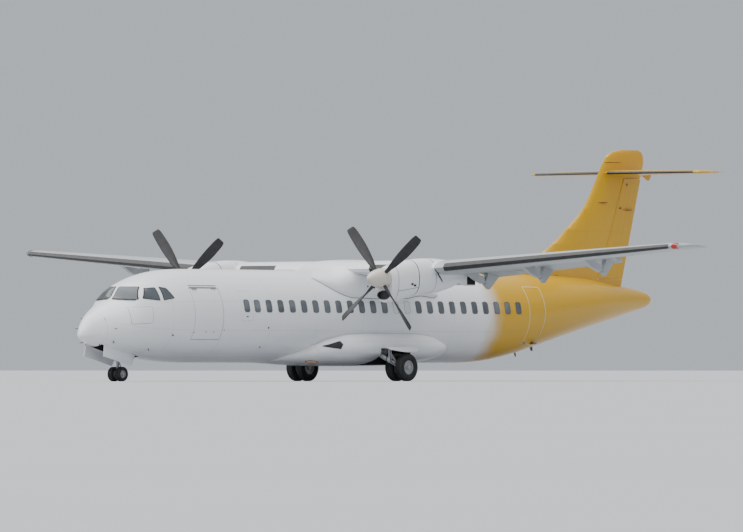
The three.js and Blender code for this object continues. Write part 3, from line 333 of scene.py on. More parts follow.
WHITE_HEX = "e9ebee"
YELLOW_HEX = "cc9d00"
white_skin = aircraft_paint("Gloss white enamel on aluminium", WHITE_HEX, "round", (2.16, 0.9),
                            YELLOW_HEX)
yellow_skin = aircraft_paint("Gloss yellow enamel on aluminium", YELLOW_HEX, "round", (1.9, 0.9),
                             grime=0.35)
# Matt epoxy primer inside bays and painted lining inside doorways, dusty and slightly uneven
bay_primer = mottled("Matt dark bay primer", "1c1d1f")
cabin_lining = mottled("Grey cabin lining", "8b8e91")

# Openings: stations, heights, the side they face, and how far from the middle a hinged door's
# doorway ends; a seated door's stops at SEAT_DEPTH
DOORS = {
    "passenger_door": ((19.55, 20.30), (-0.80, 0.95), 1, RADIUS - 1.2),
    "cargo_door": ((3.70, 4.95), (-0.72, 0.82), 1, RADIUS - 1.1),
    "service_door": ((19.80, 20.41), (-0.60, 0.62), -1, None),
    "exit_port": ((5.80, 6.31), (-0.15, 0.76), 1, None),
    "exit_starboard": ((5.80, 6.31), (-0.15, 0.76), -1, None),
}
HINGED_GAP = 0.012
SEAT_GAP = 0.005
SEAT_DEPTH = RADIUS * 0.62
NOSE_BAY = {"stations": (0.70, 2.35), "half": 0.32, "roof": -0.78}

SKIN = surface_of(barrel(BARRELS[0][1], BARRELS[-1][2]))
for node, start, end in BARRELS:
    shell = barrel(start, end)
    for stations, heights, side, hole in DOORS.values():
        if start < stations[0] and stations[1] < end:
            gap = HINGED_GAP if hole else SEAT_GAP
            push_in(shell, at(stations[1] + gap, -REACH, heights[0] - gap),
                    at(stations[0] - gap, REACH, heights[1] + gap), 1, side,
                    side * (hole or SEAT_DEPTH), 1)
    if node == "fuselage_front":
        push_in(shell, at(NOSE_BAY["stations"][1], -NOSE_BAY["half"], -REACH),
                at(NOSE_BAY["stations"][0], NOSE_BAY["half"], 0), 2, -1,
                AXIS_HEIGHT + NOSE_BAY["roof"], 2)
    yellow = node in ("fuselage_rear", "tail_cone")
    outer = yellow_skin if node == "tail_cone" else white_skin
    piece(node.replace("fuselage", "barrel") + "_skin", shell, [outer, cabin_lining, bay_primer],
          stands_for=(node,), sharp=40)

# Flight deck windows: six laminated glass panes with heated gold film, clamped in painted posts.
# Front panes are drawn across the nose and side panes along it, then dropped onto the skin.
DECK_PANE = {"proud": 0.012, "thick": 0.03, "corner": 0.03, "step": 0.04, "rim": 0.022, "sink": 0.003}
FRONT_PANE = [(0.05, 0.500), (0.86, 0.465), (0.60, 0.862), (0.05, 0.868)]
SIDE_PANES = [[(1.87, 0.500), (2.42, 0.440), (2.47, 0.845), (2.13, 0.820)],
              [(2.54, 0.450), (2.97, 0.520), (2.83, 0.825), (2.60, 0.865)]]
# The station ahead of the nose that front panes are drawn at
AHEAD = -2


def thicken(bm, vec):
    """Gives a thin skin its back and walls, that far behind it."""
    made = bmesh.ops.extrude_face_region(bm, geom=[*bm.faces, *bm.edges, *bm.verts], use_keep_orig=True)
    bmesh.ops.translate(bm, verts=[g for g in made["geom"] if isinstance(g, bmesh.types.BMVert)], vec=vec)
    return bm


def sheet(points, toward, surface, proud, thick, corner=0.0, step=0.1, rim=0.0, sink=0.0):
    """Sheet with that flat outline, cut fine and dropped onto a surface along one direction, so
    that it follows the curve. Its rim is material 0 and its middle material 1."""
    bm = bmesh.new()
    bm.faces.new([bm.verts.new(point) for point in points])
    if corner:
        bmesh.ops.bevel(bm, geom=bm.verts[:], offset=corner, offset_type="OFFSET", segments=4,
                        profile=0.5, affect="VERTICES", material=-1, clamp_overlap=True)
    for axis in (k for k in range(3) if not toward[k]):
        places = [v.co[axis] for v in bm.verts]
        low, high = min(places), max(places)
        count = math.ceil((high - low) / step)
        for k in range(1, count):
            cut_lines(bm, bm.faces[:], axis, low + (high - low) * k / count)
    for vert in bm.verts:
        hit, normal, _, _ = surface.ray_cast(vert.co, toward)
        if hit is None:
            raise ValueError(f"sheet at {tuple(points[0])} misses its surface")
        vert.co = hit + normal * proud
    bm.normal_update()
    if rim:
        ring = bmesh.ops.inset_region(bm, faces=bm.faces[:], thickness=rim, depth=-sink,
                                      use_boundary=True, use_even_offset=True)["faces"]
        for face in set(bm.faces) - set(ring):
            face.material_index = 1
    return thicken(bm, Vector(toward) * thick)


def collect(bm, part):
    """Adds one mesh to another."""
    mesh = bpy.data.meshes.new("part")
    part.to_mesh(mesh)
    part.free()
    bm.from_mesh(mesh)
    bpy.data.meshes.remove(mesh)


def lay(bm, outline, side, surface, cut, y=0.0):
    """Adds a sheet to one side of a surface; its outline is drawn in stations and heights."""
    points = [at(station, y + side * REACH, z) for station, z in outline]
    collect(bm, sheet(points, (0, -side, 0), surface, **cut))


# Tinted glass over a dark inside, which mirrors the sky; its tint drifts between pale and near black in
# large patches, painted reflection and painted shade that differ from pane to pane
GLASS_SHADE_AND_SHEEN = {"size": 0.9, "share": 1.0, "second": "14181b", "IOR": 1.52, "Coat_Weight": 0.2,
        "Coat_Roughness": 0.02, "Specular_IOR_Level": 0.4}
flight_glass = mottled("Laminated flight deck glass", "59636a", 0.12, **GLASS_SHADE_AND_SHEEN)
seal_black = mottled("Black weather seal", "191a1b")
panes = bmesh.new()
for side in (1, -1):
    outline = [at(AHEAD, side * y, z) for y, z in FRONT_PANE]
    collect(panes, sheet(outline, (-1, 0, 0), SKIN, **DECK_PANE))
    for pane in SIDE_PANES:
        lay(panes, pane, side, SKIN, DECK_PANE)
piece("flight_deck_panes", panes, [seal_black, flight_glass],
      stands_for=("cockpit_glazing",))

# Windscreen wipers: an arm and blade in one, in black paint and rubber, lying along the foot of
# each front pane just clear of it.
WIPER = [(0.08, 0.475), (0.80, 0.445), (0.80, 0.465), (0.08, 0.497)]
WIPER_CUT = {"proud": 0.03, "thick": 0.025}
wipers = bmesh.new()
for side in (1, -1):
    outline = [at(AHEAD, side * y, z) for y, z in WIPER]
    collect(wipers, sheet(outline, (-1, 0, 0), SKIN, **WIPER_CUT))
piece("windscreen_wipers", wipers, [seal_black])

# Cabin windows: stretched acrylic panes in a grey pressed frame, one in each frame bay. Two on
# each side by the propellers are plated over. The frame's dark ring round each pane is a seal and partly
# painted shade for the pane's shallow recess.
SIDES = ((1, "port"), (-1, "starboard"))
WINDOW = {"first": 6.53, "pitch": 0.54, "count": 24, "half": 0.135, "heights": (0.105, 0.495)}
# The rim is the frame's dark ring, partly painted shade for the pane's recess
CABIN_PANE = {"proud": 0.007, "thick": 0.02, "corner": 0.08, "step": 0.045, "rim": 0.02, "sink": 0.003}
BLANK = {**CABIN_PANE, "proud": 0.003, "rim": 0.01, "sink": 0.001}
BLANKED = (12, 13)


def box_outline(stations, heights):
    """Rectangle seen from one side."""
    return [(stations[0], heights[0]), (stations[1], heights[0]), (stations[1], heights[1]),
            (stations[0], heights[1])]


cabin_glass = mottled("Stretched acrylic cabin pane", "7d848b", 0.1, **GLASS_SHADE_AND_SHEEN)
frame_paint = mottled("Graphite pressed window frame", "3c4045", 0.45, size=0.05, share=0.3,
                      second="5c6064")
blank_paint = mottled("White blanking plate", "dfe1e3", 0.4, size=0.08, share=0.25, second="b9bcbe")
for side, word in SIDES:
    panes, plates = bmesh.new(), bmesh.new()
    for k in range(WINDOW["count"]):
        centre = WINDOW["first"] + k * WINDOW["pitch"]
        outline = box_outline((centre - WINDOW["half"], centre + WINDOW["half"]), WINDOW["heights"])
        lay(plates if k in BLANKED else panes, outline, side, SKIN, BLANK if k in BLANKED else CABIN_PANE)
    piece(f"cabin_windows_{word}", panes, [frame_paint, cabin_glass])
    piece(f"window_blanks_{word}", plates, [frame_paint, blank_paint])

# Doors: each is a skin on ribs, flush with the body and a thumb's width clear of it. The
# emergency exits and the service door fill their frames; exits carry a window and a handle.
HINGED = {"passenger_door": "passenger_stairs", "cargo_door": "cargo_hatch"}
SEATED_THICK = 0.05
SKIN_THICK = 0.004
# How far past the door the copied barrel runs, and how near the middle the door is cut off
DOOR_MARGIN = 0.3


def trim(bm, cuts):
    """Leaves what lies behind every cut: a point and the way that the cut faces."""
    for point, way in cuts:
        bmesh.ops.bisect_plane(bm, geom=[*bm.verts, *bm.edges, *bm.faces], plane_co=point,
                               plane_no=way, clear_outer=True)
    return bm


def door_skin(stations, heights, side, thickness):
    """Door cut from the body's own surface, so that it is flush all over."""
    bm = barrel(stations[0] - DOOR_MARGIN, stations[1] + DOOR_MARGIN)
    trim(bm, [(at(stations[0], 0, 0), (1, 0, 0)), (at(stations[1], 0, 0), (-1, 0, 0)),
              (at(0, 0, heights[1]), (0, 0, 1)), (at(0, 0, heights[0]), (0, 0, -1)),
              (at(0, DOOR_MARGIN * side, 0), (0, -side, 0))])
    bm.normal_update()
    bmesh.ops.solidify(bm, geom=bm.faces[:], thickness=thickness)
    return bm


for node, (stations, heights, side, _) in DOORS.items():
    yellow = node in ("passenger_door", "service_door")
    hinged = node in HINGED
    skin = door_skin(stations, heights, side, SKIN_THICK if hinged else SEATED_THICK)
    piece(node + ("_skin" if hinged else "_panel"), skin, [yellow_skin if yellow else white_skin],
          HINGED.get(node, "airframe"),
          () if hinged else (node,))

EXIT_WINDOW = box_outline((5.92, 6.18), (0.11, 0.50))
EXIT_HANDLE = box_outline((6.00, 6.10), (-0.045, -0.005))
SERVICE_HANDLE = box_outline((20.0, 20.16), (-0.03, 0.02))
HANDLE_CUT = {"proud": 0.003, "thick": 0.015, "corner": 0.012, "step": 0.05, "rim": 0.006, "sink": 0.002}
exit_fittings = bmesh.new()
for side in (1, -1):
    lay(exit_fittings, EXIT_WINDOW, side, SKIN, CABIN_PANE)
    lay(exit_fittings, EXIT_HANDLE, side, SKIN, HANDLE_CUT)
lay(exit_fittings, SERVICE_HANDLE, -1, SKIN, HANDLE_CUT)
piece("exit_windows_and_handles", exit_fittings, [frame_paint, cabin_glass])

# Painted band that marks the airstair door's edge from outside: a narrow pale line sprayed round
# the frame, just clear of the gap.
BAND = 0.022
BAND_CUT = {"proud": 0.0025, "thick": 0.004, "step": 0.06}
pale_line = mottled("Pale door edge paint", "efe3b4", 0.35, size=0.1, share=0.3, second="c9a84e")
stations, heights, side, _ = DOORS["passenger_door"]
fore, aft = stations[0] - HINGED_GAP, stations[1] + HINGED_GAP
foot, head = heights[0] - HINGED_GAP, heights[1] + HINGED_GAP
band = bmesh.new()
for along, up in (((fore - BAND, fore), (foot - BAND, head + BAND)),
                  ((aft, aft + BAND), (foot - BAND, head + BAND)),
                  ((fore, aft), (head, head + BAND)),
                  ((fore, aft), (foot - BAND, foot))):
    lay(band, box_outline(along, up), side, SKIN, BAND_CUT)
piece("passenger_door_surround", band, [pale_line])

# Hinges of the two hinged doors: short steel rods held in lugs along the foot of the airstair
# door and the head of the cargo door.
# Columns: stations, side, height, radius, length of the lugs, way that the lugs stand off
DOOR_RODS = [((19.56, 19.72), 1.035, -0.80, 0.016, 0.09, -1),
             ((20.12, 20.28), 1.035, -0.80, 0.016, 0.235, -1),
             ((3.80, 4.00), 1.18, 0.82, 0.018, 0.045, 1), ((4.65, 4.85), 1.18, 0.82, 0.018, 0.045, 1)]
LUG = {"wide": 0.03, "from": 0.005, "to": 0.040, "edge": 0.003}
GRAIN = {"size": 0.004, "stretch": (1, 1, 8), "smoothest": 0.8, "roughest": 1.3, "strength": 0.1,
         "distance": 0.001}


def rod(bm, start, end, radius, sides=16, tip=None):
    """Round bar between two points; tip is its radius at the far end."""
    way = Vector(end) - Vector(start)
    made = bmesh.ops.create_cone(bm, cap_ends=True, segments=sides, radius1=radius,
                                 radius2=radius if tip is None else tip, depth=way.length)["verts"]
    bmesh.ops.rotate(bm, verts=made, matrix=way.to_track_quat("Z", "Y").to_matrix())
    bmesh.ops.translate(bm, verts=made, vec=(Vector(start) + Vector(end)) / 2)


def block(bm, low, high, edge=0.0):
    """Rectangular block between two corners, its edges eased."""
    made = bmesh.ops.create_cube(bm, size=1)["verts"]
    bmesh.ops.scale(bm, verts=made, vec=[abs(b - a) for a, b in zip(low, high)])
    bmesh.ops.translate(bm, verts=made, vec=(Vector(low) + Vector(high)) / 2)
    if edge:
        edges = list({e for v in made for e in v.link_edges})
        bmesh.ops.bevel(bm, geom=edges, offset=edge, offset_type="OFFSET", segments=2, profile=0.5,
                        affect="EDGES", material=-1)


def satin_metal(name, code, roughness, metallic=1.0):
    """Worked metal with a fine directional grain, drawn coarser than life so that it shows."""
    material, tree, shader, place = new_finish(name, code, roughness, Metallic=metallic)
    grained = patches(tree, place, GRAIN["size"], GRAIN["stretch"])
    rough = add_node(tree, "MapRange", {"Value": grained, "To Min": roughness * GRAIN["smoothest"],
                                        "To Max": roughness * GRAIN["roughest"]})
    tree.links.new(rough.outputs[0], shader.inputs["Roughness"])
    bump = add_node(tree, "Bump", {"Height": grained, "Strength": GRAIN["strength"],
                                   "Distance": GRAIN["distance"]})
    tree.links.new(bump.outputs[0], shader.inputs["Normal"])
    return material


steel = satin_metal("Ground alloy steel", "a2a5a8", 0.35)
rods = bmesh.new()
for (start, end), y, z, radius, arm, way in DOOR_RODS:
    rod(rods, at(start, y, z), at(end, y, z), radius)
    for foot in (start, end - LUG["wide"]):
        block(rods, at(foot + LUG["wide"], y - arm, z + way * LUG["from"]),
              at(foot, y, z + way * LUG["to"]), LUG["edge"])
piece("door_hinge_rods", rods, [steel])

# Airstair and cargo door pans: the doors' inner structure with the treads, in grey lining paint,
# drawn in just under the outer skin that is riveted over it.
PAN_DROP = 0.006


def node_mesh(node):
    """The node's own solid, welded, with flat neighbours merged."""
    bm = bmesh.new()
    bm.from_mesh(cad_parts[node].data)
    bmesh.ops.remove_doubles(bm, verts=bm.verts, dist=0.00005)
    bmesh.ops.dissolve_limit(bm, angle_limit=math.radians(0.3), verts=bm.verts, edges=bm.edges)
    return bm


for node, body in HINGED.items():
    pan = node_mesh(node)
    for vert in pan.verts:
        _, normal, _, far = SKIN.find_nearest(vert.co)
        if far < PAN_DROP:
            vert.co -= normal * PAN_DROP
    piece(node + "_pan", pan, [cabin_lining], body, stands_for=(node,))

# Cargo door hinge covers: two long narrow extrusions in black rubber, bonded to the skin above
# the door.
HINGE_COVERS = [box_outline((3.72, 4.93), (0.845, 0.863)), box_outline((3.72, 4.93), (0.90, 0.918))]
COVER_CUT = {"proud": 0.004, "thick": 0.01}
covers = bmesh.new()
for outline in HINGE_COVERS:
    lay(covers, outline, 1, SKIN, COVER_CUT)
piece("cargo_hinge_covers", covers, [seal_black])

# Access panel on each flank of the nose: a plate with round corners in the body's paint, screwed
# down over the avionics shelf.
NOSE_PANEL = [(1.38, 0.24), (1.30, -0.28), (2.02, -0.24), (2.08, 0.26)]
PANEL_CUT = {"proud": 0.003, "thick": 0.015, "corner": 0.05, "step": 0.09, "rim": 0.008, "sink": -0.0015}
panel = bmesh.new()
for side in (1, -1):
    lay(panel, NOSE_PANEL, side, SKIN, PANEL_CUT)
piece("nose_access_panels", panel, [frame_paint, white_skin])

# Wing fairing: a smooth hood of glass cloth over the wing joint, with a black rubber seal along
# its foot and under the wing where it leaves the hood, a dark strip of painted shadow down the hood below
# the inner flap's end, and two vents in each flank.
# Columns: station, half width, top, bottom, widest height, squareness
WING_FAIRING = [
    (9.60, 0.690, 1.33, 1.15, 1.25, 2),
    (9.84, 0.935, 1.34, 0.85, 1.11, 2),
    (10.18, 1.135, 1.40, 0.55, 0.95, 2.1),
    (10.50, 1.250, 1.45, 0.30, 0.85, 2.2),
    (10.80, 1.330, 1.52, 0.15, 0.90, 2.4),
    (11.08, 1.385, 1.64, 0.06, 1.00, 2.5),
    (11.50, 1.400, 1.75, 0.00, 1.12, 2.6),
    (12.39, 1.410, 1.78, -0.05, 1.15, 2.6),
    (13.00, 1.410, 1.77, -0.05, 1.15, 2.6),
    (13.66, 1.410, 1.70, 0.00, 1.13, 2.5),
    (13.95, 1.405, 1.66, 0.05, 1.08, 2.2),
    (14.30, 1.400, 1.60, 0.08, 0.98, 1.8),
    (14.60, 1.390, 1.51, 0.10, 0.85, 1.65),
    (14.90, 1.365, 1.45, 0.15, 0.71, 1.6),
    (15.20, 1.255, 1.36, 0.40, 0.69, 1.6),
]
FAIRING_RINGS = 48
SEAL_RADIUS = 0.009
# The seal under the wing runs at one distance from the middle; the strip that goes on down the hood behind
# it is painted shadow of the gap at the inner flap's end
ROOT_SEAL = {"y": 1.425, "stations": [11.3 + 0.2 * k for k in range(9)], "under": 0.6}
FLAP_GAP_SHADOW = [(13.27, 1.27), (13.43, 1.20), (13.59, 1.12)]
HOOD_VENTS = [box_outline((11.645, 11.715), (0.915, 0.965)), box_outline((11.93, 12.03), (0.878, 0.922))]
VENT_CUT = {"proud": 0.003, "thick": 0.012, "corner": 0.02, "step": 0.05}
HALVINGS = 24


def foot_of(station):
    """Where the wing fairing's lower flank meets the body, or None where it lies inside."""
    half, top, bottom, waist, power = row_at(WING_FAIRING, station)
    inner, outer = math.pi / 2, 0.0
    for _ in range(HALVINGS):
        middle = (inner + outer) / 2
        y = half * math.cos(middle) ** (2 / power)
        z = waist - (waist - bottom) * math.sin(middle) ** (2 / power)
        inner, outer = (middle, outer) if math.hypot(y, z) < RADIUS else (inner, middle)
    return (y, z) if math.hypot(half, waist) > RADIUS else None


def places_on(surface, places, side, y=0.0):
    """Where stations and heights, seen from one side, lie on a surface."""
    return [surface.ray_cast(at(station, y + side * REACH, z), (0, -side, 0))[0] for station, z in places]


def strand(bm, path, radius, sides=8):
    """Round strip or hose along short straight lengths, each lapping the next."""
    for start, end in zip(path, path[1:]):
        rod(bm, start, end, radius, sides)


first, last = WING_FAIRING[0][0], WING_FAIRING[-1][0]
rings = [first + (last - first) * k / FAIRING_RINGS for k in range(FAIRING_RINGS + 1)]
white_composite = aircraft_paint("Gloss white enamel on composite", WHITE_HEX, "span", (1.9, 1.7))
piece("wing_fairing_hood", tube(WING_FAIRING, rings), [white_composite],
      stands_for=("wing_fairing",))
HOOD = surface_of(tube(WING_FAIRING, rings))
WING_BOX = surface_of(node_mesh("wing_centre"))
seal = bmesh.new()
feet = [(station, foot_of(station)) for station in rings if foot_of(station)]
for side in (1, -1):
    strand(seal, [at(station, side * y, z) for station, (y, z) in feet], SEAL_RADIUS)
    root = [WING_BOX.ray_cast(at(station, side * ROOT_SEAL["y"], ROOT_SEAL["under"]), (0, 0, 1))[0]
            for station in ROOT_SEAL["stations"]]
    # The run on down the hood is the dark strip of painted shadow below the inner flap's end
    strand(seal, root + places_on(HOOD, FLAP_GAP_SHADOW, side), SEAL_RADIUS)
    for outline in HOOD_VENTS:
        lay(seal, outline, side, HOOD, VENT_CUT)
piece("wing_fairing_seal", seal, [seal_black])

# Belly fairing: glass cloth panels round the main gear, white outside and primed inside the bay
# that is open below over each pair of wheels.
BAY = {"stations": (11.8, 13.2), "side": 0.75, "roof": -0.98, "slack": 0.01}
SQUARE_ON = 0.99
belly_white = aircraft_paint("Gloss white enamel on belly fairing", WHITE_HEX, "upright", (2.1, 0.62))
belly = node_mesh("belly_fairing")
for face in belly.faces:
    middle = face.calc_center_median()
    station, inward = STATION_ZERO - middle.x, abs(middle.y) - BAY["side"]
    along = BAY["stations"][0] - BAY["slack"] < station < BAY["stations"][1] + BAY["slack"]
    wall = abs(face.normal.x) > SQUARE_ON or (abs(face.normal.y) > SQUARE_ON and inward < BAY["slack"])
    roof = abs(middle.z - AXIS_HEIGHT - BAY["roof"]) < BAY["slack"]
    if along and inward > -BAY["slack"] and (wall or roof):
        face.material_index = 1
piece("belly_fairing_skin", belly, [belly_white, bay_primer],
      stands_for=("belly_fairing",))

# Landing lights: a sealed lamp behind a clear oval lens in a black rim, one in each shoulder of
# the belly fairing; lit lamps look amber. Above the port one a wedge-shaped air intake is drawn as a flat
# sheet in dark primer, painted shade for its open mouth.
LAMP = {"station": 9.57, "y": 0.94, "long": 0.29, "wide": 0.12, "points": 20}
LAMP_CUT = {"proud": 0.008, "thick": 0.02, "step": 0.04, "rim": 0.02, "sink": 0.003}
AIR_SCOOP = [(9.58, -0.93), (9.64, -0.90), (10.24, -0.76), (10.27, -0.87), (10.14, -1.01), (9.88, -0.985)]
SCOOP_CUT = {"proud": 0.008, "thick": 0.02, "corner": 0.02, "step": 0.03}
BELLY = surface_of(node_mesh("belly_fairing"))
lamp_glass = mottled("Lit landing lamp lens", "e2b083", 0.15, size=0.03, share=0.35, second="fff2df",
                     Coat_Weight=1.0, Emission_Color=linear("e2a56c"), Emission_Strength=0.25)
lamps, scoop = bmesh.new(), bmesh.new()
for side in (1, -1):
    outline = [at(LAMP["station"] + LAMP["long"] * math.cos(a),
                  side * (LAMP["y"] + LAMP["wide"] * math.sin(a)), -REACH)
               for a in (math.tau * k / LAMP["points"] for k in range(LAMP["points"]))]
    collect(lamps, sheet(outline, (0, 0, 1), BELLY, **LAMP_CUT))
# The scoop is a flat dark sheet, painted shade where the intake's mouth opens
lay(scoop, AIR_SCOOP, 1, BELLY, SCOOP_CUT)
piece("landing_lights", lamps, [seal_black, lamp_glass])
piece("air_conditioning_scoop", scoop, [bay_primer])

# Wing: machined skins in light grey enamel on the outer panels and white on the centre, with
# black neoprene de-icing boots glued round the leading edge.
WING_LEAD = {"root": (11.08, 4.6), "tip": (11.83, 13.525)}
LEAD_SLOPE = (WING_LEAD["tip"][0] - WING_LEAD["root"][0]) / (WING_LEAD["tip"][1] - WING_LEAD["root"][1])
BOOT_DEPTH = 0.115
BOOT_SPANS = {"wing": (4.95, 13.24), "centre": (1.95, 3.42)}
BOOT_PROUD = 0.003
BED = 0.003
# Rubber and blade enamel: uneven, with a grey bloom where it is scuffed
RUBBER = {"share": 0.5, "second": "4a4a4b", "ripple": {"Strength": 0.2, "Distance": 0.002}, "IOR": 1.45}


def smooth_copy(node, finish, body="airframe", sharp=32):
    piece(node + "_skin", node_mesh(node), [finish], body, (node,), sharp)


def between(side, inner, outer):
    """Cuts that keep one stretch of the span."""
    return [(at(0, side * inner, 0), (0, -side, 0)), (at(0, side * outer, 0), (0, side, 0))]


def raised(bm, proud):
    """Turns a slice of skin into a sheet glued on that skin."""
    bm.normal_update()
    for vert in bm.verts:
        vert.co += vert.normal * proud
    bmesh.ops.solidify(bm, geom=bm.faces[:], thickness=proud + BED)
    return bm


wing_grey = aircraft_paint("Light grey wing enamel", "a9aeb1", "span", (0.9, 1.2), roughness=0.35,
                           grime=0.6)
boot_rubber = mottled("Black neoprene boot", "17181a", 0.42, size=0.2, **RUBBER)
smooth_copy("wing_centre", white_composite)
for side, word in SIDES:
    for node, body in ((f"wing_{word}", "airframe"), (f"aileron_{word}", f"aileron_panel_{word}"),
                       (f"flap_inner_{word}", f"flap_panel_inner_{word}"),
                       (f"flap_outer_{word}", f"flap_panel_outer_{word}")):
        smooth_copy(node, wing_grey, body)
    behind = at(WING_LEAD["root"][0] + BOOT_DEPTH, side * WING_LEAD["root"][1], 0)
    boots = bmesh.new()
    for node, slope, span in ((f"wing_{word}", LEAD_SLOPE, BOOT_SPANS["wing"]),
                              ("wing_centre", 0, BOOT_SPANS["centre"])):
        cuts = [(behind, (-1, -side * slope, 0)), *between(side, *span)]
        collect(boots, raised(trim(node_mesh(node), cuts), BOOT_PROUD))
    piece(f"wing_boots_{word}", boots, [boot_rubber])

# Wing tip lamps: a moulded glass cap round the leading corner of each tip, clear at both ends and
# coloured over the bulb, red to port, bedded on the skin in sealant.
# Columns: span that it covers, how proud it stands, its material
TIP_CAPS = [((13.26, 13.48), 0.010, 0), ((13.31, 13.42), 0.022, 1)]
TIP_BEHIND = 12.16
clear_lens = mottled("Clear lamp glass", "c9ced2", 0.08, size=0.04, second="8f979c",
                     Transmission_Weight=0.3)
lamp_red = mottled("Red lamp glass", "b81414", 0.1, size=0.03, second="5a0808", Coat_Weight=0.6)
lamp_green = mottled("Green lamp glass", "0f8a3e", 0.1, size=0.03, second="064a20", Coat_Weight=0.6)
for (side, word), glass in zip(SIDES, (lamp_red, lamp_green)):
    caps = bmesh.new()
    for span, proud, index in TIP_CAPS:
        cuts = [(at(TIP_BEHIND, 0, 0), (-1, 0, 0)), *between(side, *span)]
        cap = raised(trim(node_mesh(f"wing_{word}"), cuts), proud)
        for face in cap.faces:
            face.material_index = index
        collect(caps, cap)
    piece(f"tip_lamp_{word}", caps, [clear_lens, glass])

# Nacelles: composite cowls round the engine, latched along their seams, with catches in each
# flank and a rubber strip down the outer one under the wing's leading edge.
NACELLE_Y = 4.05
# Columns: station, width
COWL_SEAMS = [(9.62, 0.014), (10.47, 0.032), (11.25, 0.014)]
SEAM_FOOT = 0.35
SEAM_PROUD = 0.0015
COWL_LATCH = {"from": (9.60, 0.76), "to": (10.47, 0.88), "steps": 12, "radius": 0.006}
COWL_CATCHES = [box_outline((10.13, 10.23), (0.95, 1.01)), box_outline((10.25, 10.35), (0.91, 0.97))]
CATCH_CUT = {"proud": 0.006, "thick": 0.012, "corner": 0.012, "step": 0.055}
# Columns: station, side, height
CUFF_SEAL = [(11.11, 4.65, 1.42), (11.19, 4.64, 1.37), (11.27, 4.62, 1.31), (11.36, 4.59, 1.24),
             (11.44, 4.565, 1.18), (11.50, 4.556, 1.12), (11.54, 4.556, 1.06)]
CUFF_RADIUS = 0.020
nacelle_white = aircraft_paint("Gloss white enamel on cowls", WHITE_HEX, "span", (3.3, 3.3), grime=1.0)
burnt_steel = satin_metal("Heat-stained stainless steel", "3a3633", 0.5, 0.9)
latch = [Vector(COWL_LATCH["from"]).lerp(COWL_LATCH["to"], k / COWL_LATCH["steps"])
         for k in range(COWL_LATCH["steps"] + 1)]
for side, word in SIDES:
    node = f"nacelle_{word}"
    smooth_copy(node, nacelle_white, sharp=30)
    seams = bmesh.new()
    for station, width in COWL_SEAMS:
        cuts = [(at(station, 0, 0), (1, 0, 0)), (at(station + width, 0, 0), (-1, 0, 0)),
                (at(0, 0, SEAM_FOOT), (0, 0, -1))]
        collect(seams, raised(trim(node_mesh(node), cuts), SEAM_PROUD))
    cowl = surface_of(node_mesh(node))
    for flank in (1, -1):
        strand(seams, places_on(cowl, latch, flank, side * NACELLE_Y), COWL_LATCH["radius"])
        for outline in COWL_CATCHES:
            lay(seams, outline, flank, cowl, CATCH_CUT, side * NACELLE_Y)
    strand(seams, [at(s, side * y, z) for s, y, z in CUFF_SEAL], CUFF_RADIUS, sides=10)
    piece(f"cowl_seams_{word}", seams, [seal_black])
    # The engine inside is the CAD block, shown as hot-section steel
    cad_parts[f"engine_{word}"].data.materials.clear()
    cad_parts[f"engine_{word}"].data.materials.append(burnt_steel)

# Exhausts: a square pipe of heat-stained steel with round corners, turned outwards on each
# nacelle's outer flank, with a plain wall and a shallow bore whose dark primer floor is painted shade for
# the deep pipe.
EXHAUST = {"station": 12.84, "y": 4.39, "z": 1.10, "turn": 20, "half": 0.136, "height": 0.146,
           "front": 0.02, "back": -0.272, "wall": 0.028, "corner": 0.045, "floor": 0.028}
for side, word in SIDES:
    pipe = bmesh.new()
    block(pipe, (EXHAUST["back"], -EXHAUST["half"], -EXHAUST["height"]),
          (EXHAUST["front"], EXHAUST["half"], EXHAUST["height"]))
    long_edges = [e for e in pipe.edges if abs(e.verts[0].co.x - e.verts[1].co.x) > NEAR]
    bmesh.ops.bevel(pipe, geom=long_edges, offset=EXHAUST["corner"], offset_type="OFFSET", segments=4,
                    profile=0.5, affect="EDGES", material=-1)
    pipe.normal_update()
    mouth = [f for f in pipe.faces if f.normal.x < -SQUARE_ON]
    bmesh.ops.inset_region(pipe, faces=mouth, thickness=EXHAUST["wall"], use_boundary=True,
                           use_even_offset=True)
    # The bore's floor is dark primer, painted shade for the pipe's depth
    draw_in(pipe, mouth, 0, EXHAUST["floor"], 1)
    bmesh.ops.rotate(pipe, verts=pipe.verts,
                     matrix=Matrix.Rotation(math.radians(-side * EXHAUST["turn"]), 3, "Z"))
    bmesh.ops.translate(pipe, verts=pipe.verts,
                        vec=at(EXHAUST["station"], side * EXHAUST["y"], EXHAUST["z"]))
    piece(f"exhaust_pipe_{word}", pipe, [burnt_steel, bay_primer])

# Intakes: a fat black rubber lip round the oval mouth under each spinner, and the duct behind it,
# moulded in one from the outside of the lip to the duct's end, where a disc in dark primer is painted shade
# for the duct's depth.
# Columns: station, half width, half height
INTAKE_LIP = [(9.420, 0.240, 0.130), (9.375, 0.252, 0.142), (9.348, 0.250, 0.140), (9.338, 0.236, 0.126),
              (9.343, 0.220, 0.110), (9.365, 0.208, 0.098), (9.46, 0.204, 0.094), (9.70, 0.200, 0.090)]
INTAKE_Z = 0.64


